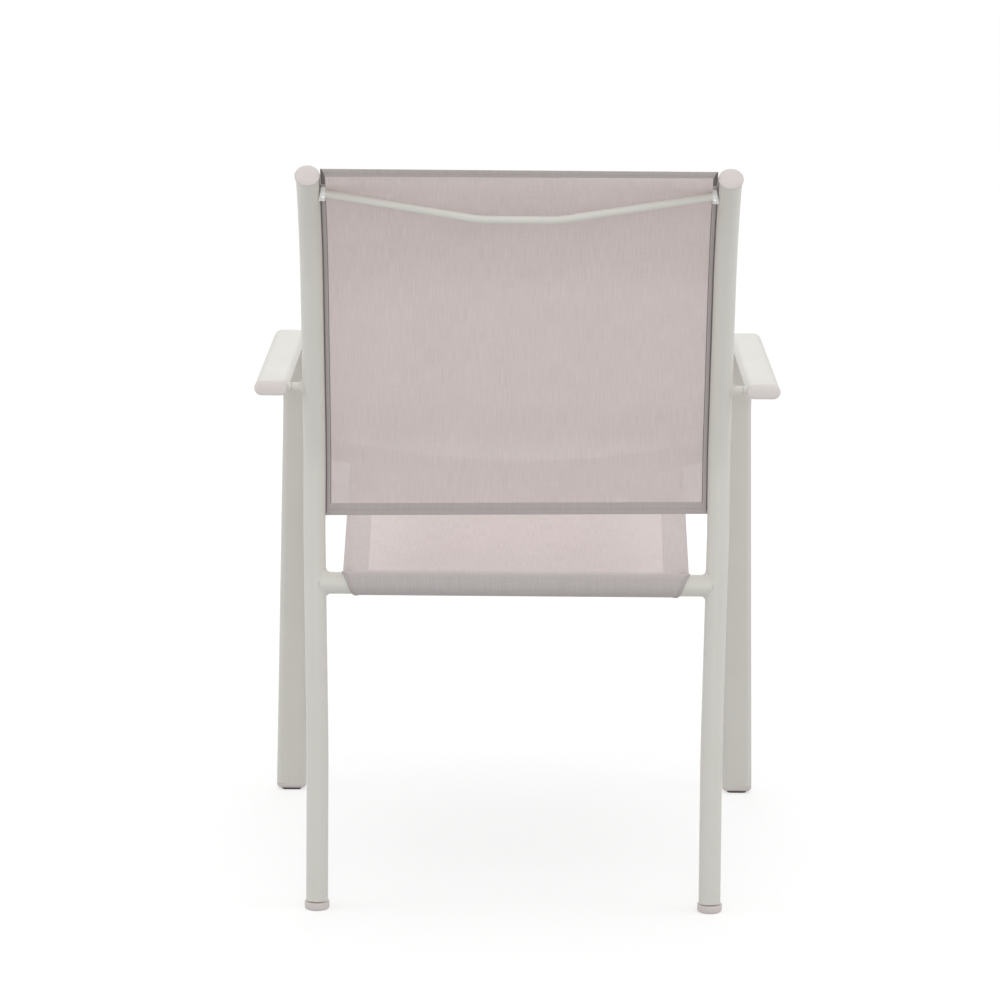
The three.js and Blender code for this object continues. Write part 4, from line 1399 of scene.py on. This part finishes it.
def addScrews():
    # a domed head with a round recess, and its shank below
    radius, height = screw["headRadius"], screw["headHeight"]
    shank, length = screw["shankRadius"], screw["shankLength"]
    recess, depth = radius * 0.42, height * 0.55
    profile = [
        (0, -length), (shank * 0.6, -length), (shank, shank - length), (shank, 0),
        (radius * 0.96, 0), (radius, height * 0.12), (radius * 0.97, height * 0.45),
        (radius * 0.82, height * 0.82), (radius * 0.55, height), (recess, height),
        (recess, height - depth), (0, height - depth * 1.25),
    ]
    tilt = radians(bar["screwTilt"])
    lift = bar["radius"] + rail["lift"] + rail["slingThickness"] + touchGap
    places = []
    for x in (-bar["screwPitch"], 0, bar["screwPitch"]):
        for zone, way in (
            ("rear", Vector((0, -sin(tilt), -cos(tilt)))), ("front", Vector((0, 0, -1))),
        ):
            middle = Vector((x, seatEnds[zone][2], barHeight(zone, x)))
            places.append((middle + way * lift, way))
    nodes = [f"seat_screw_{zone}_{number}" for zone in seatEnds for number in (1, 2, 3)]
    setFixings("seat_screws", profile, fixingSteel, fixingGroup, places, *nodes)


addSpreaderRod()
addPins()
addScrews()
for side in sides:
    for node, material in (("back_spline", splinePlastic), ("arm_bolt", fixingSteel)):
        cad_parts[f"{node}_{side}"].material_slots[0].material = material
print("rod and fixings made")

studio = {
    "worldLevel": 0.60,
    "floorHalf": 30,
    "floorShade": 0.64,
    "floorLift": 0.63,
    "nearLift": 0.50,
    "nearReach": 0.6,
    "farReach": 2.6,
}
# each lamp's place, size and power
lamps = {
    "topLamp": ((0, 0.3, 2.8), 2.6, 12.0),
    "frontLamp": ((0, -3.0, 2.2), 2.0, 6.0),
    "cameraLamp": ((-0.2, 4.2, 1.3), 2.2, 24.0),
    "leftLamp": ((3.2, 0.5, 1.3), 2.2, 13.0),
    "rightLamp": ((-3.2, 0.5, 1.3), 2.2, 13.0),
}


def backdropSeen(graph):
    # 1 for what the camera sees, also in gloss and through glass
    kinds = ("Camera", "Glossy", "Transmission")
    rays = [graph.add("ShaderNodeLightPath", output=f"Is {kind} Ray") for kind in kinds]
    return graph.clamped(rays[0] + rays[1] + rays[2])


def addFloor():
    material, graph = newMaterial("floorPaint")
    shade = studio["floorShade"]
    plain = graph.add("ShaderNodeBsdfDiffuse", {"Color": (shade, shade, shade, 1)})
    # the lamps light the floor less further out, and the added glow makes up for it
    away = graph.add("ShaderNodeVectorMath", {0: graph.here()}, 1, operation="LENGTH")
    spread = studio["farReach"] - studio["nearReach"]
    glow = graph.add("ShaderNodeMixShader", {
        0: graph.clamped((away - studio["nearReach"]) / spread),
        1: graph.add("ShaderNodeEmission", {"Strength": studio["nearLift"]}),
        2: graph.add("ShaderNodeEmission", {"Strength": studio["floorLift"]}),
    })
    both = graph.add("ShaderNodeAddShader", {0: plain, 1: glow})
    mix = graph.add("ShaderNodeMixShader", {0: backdropSeen(graph), 1: plain, 2: both})
    graph.add("ShaderNodeOutputMaterial", {"Surface": mix})
    shell = bmesh.new()
    bmesh.ops.create_grid(shell, x_segments=1, y_segments=1, size=studio["floorHalf"])
    asPiece("floor", shell, material)


def addWorld():
    world = bpy.data.worlds.new("studio")
    bpy.context.scene.world = world
    world.use_nodes = True
    world.node_tree.nodes.clear()
    graph = Graph(world.node_tree)
    strength = backdropSeen(graph) * (1 - studio["worldLevel"]) + studio["worldLevel"]
    light = graph.add("ShaderNodeBackground", {"Color": (1, 1, 1, 1), "Strength": strength})
    graph.add("ShaderNodeOutputWorld", {"Surface": light})


def addLamp(name, place, size, power):
    data = bpy.data.lights.new(name, "AREA")
    data.shape = "DISK"
    data.size = size
    data.energy = power
    lamp = newObject(name, data)
    lamp.location = place
    aim = Vector((0, 0, 0.5)) - Vector(place)
    lamp.rotation_euler = aim.to_track_quat("-Z", "Y").to_euler()


view = {
    "focal": 3.9,
    "behindFeet": 4.345,
    "footEdge": 0.014,
    "height": 1.362,
    "pitch": 11.36,
    "roll": 0.46,
    "shift": -0.0165,
    "sensor": 36.0,
}


def addCamera():
    data = bpy.data.cameras.new("camera")
    data.sensor_width = view["sensor"]
    data.lens = view["focal"] * view["sensor"]
    data.shift_x = view["shift"]
    camera = newObject("camera", data)
    place = Vector((0, postY + view["footEdge"] + view["behindFeet"], view["height"]))
    turn = Matrix.Rotation(radians(90 - view["pitch"]), 4, "X")
    roll = Matrix.Rotation(radians(view["roll"]), 4, "Z")
    camera.matrix_world = placeAt(place, pi, "Z") @ turn @ roll
    bpy.context.scene.camera = camera


addFloor()
addWorld()
for name, values in lamps.items():
    addLamp(name, *values)
addCamera()
bpy.context.scene.view_settings.view_transform = "Standard"
print("studio made")
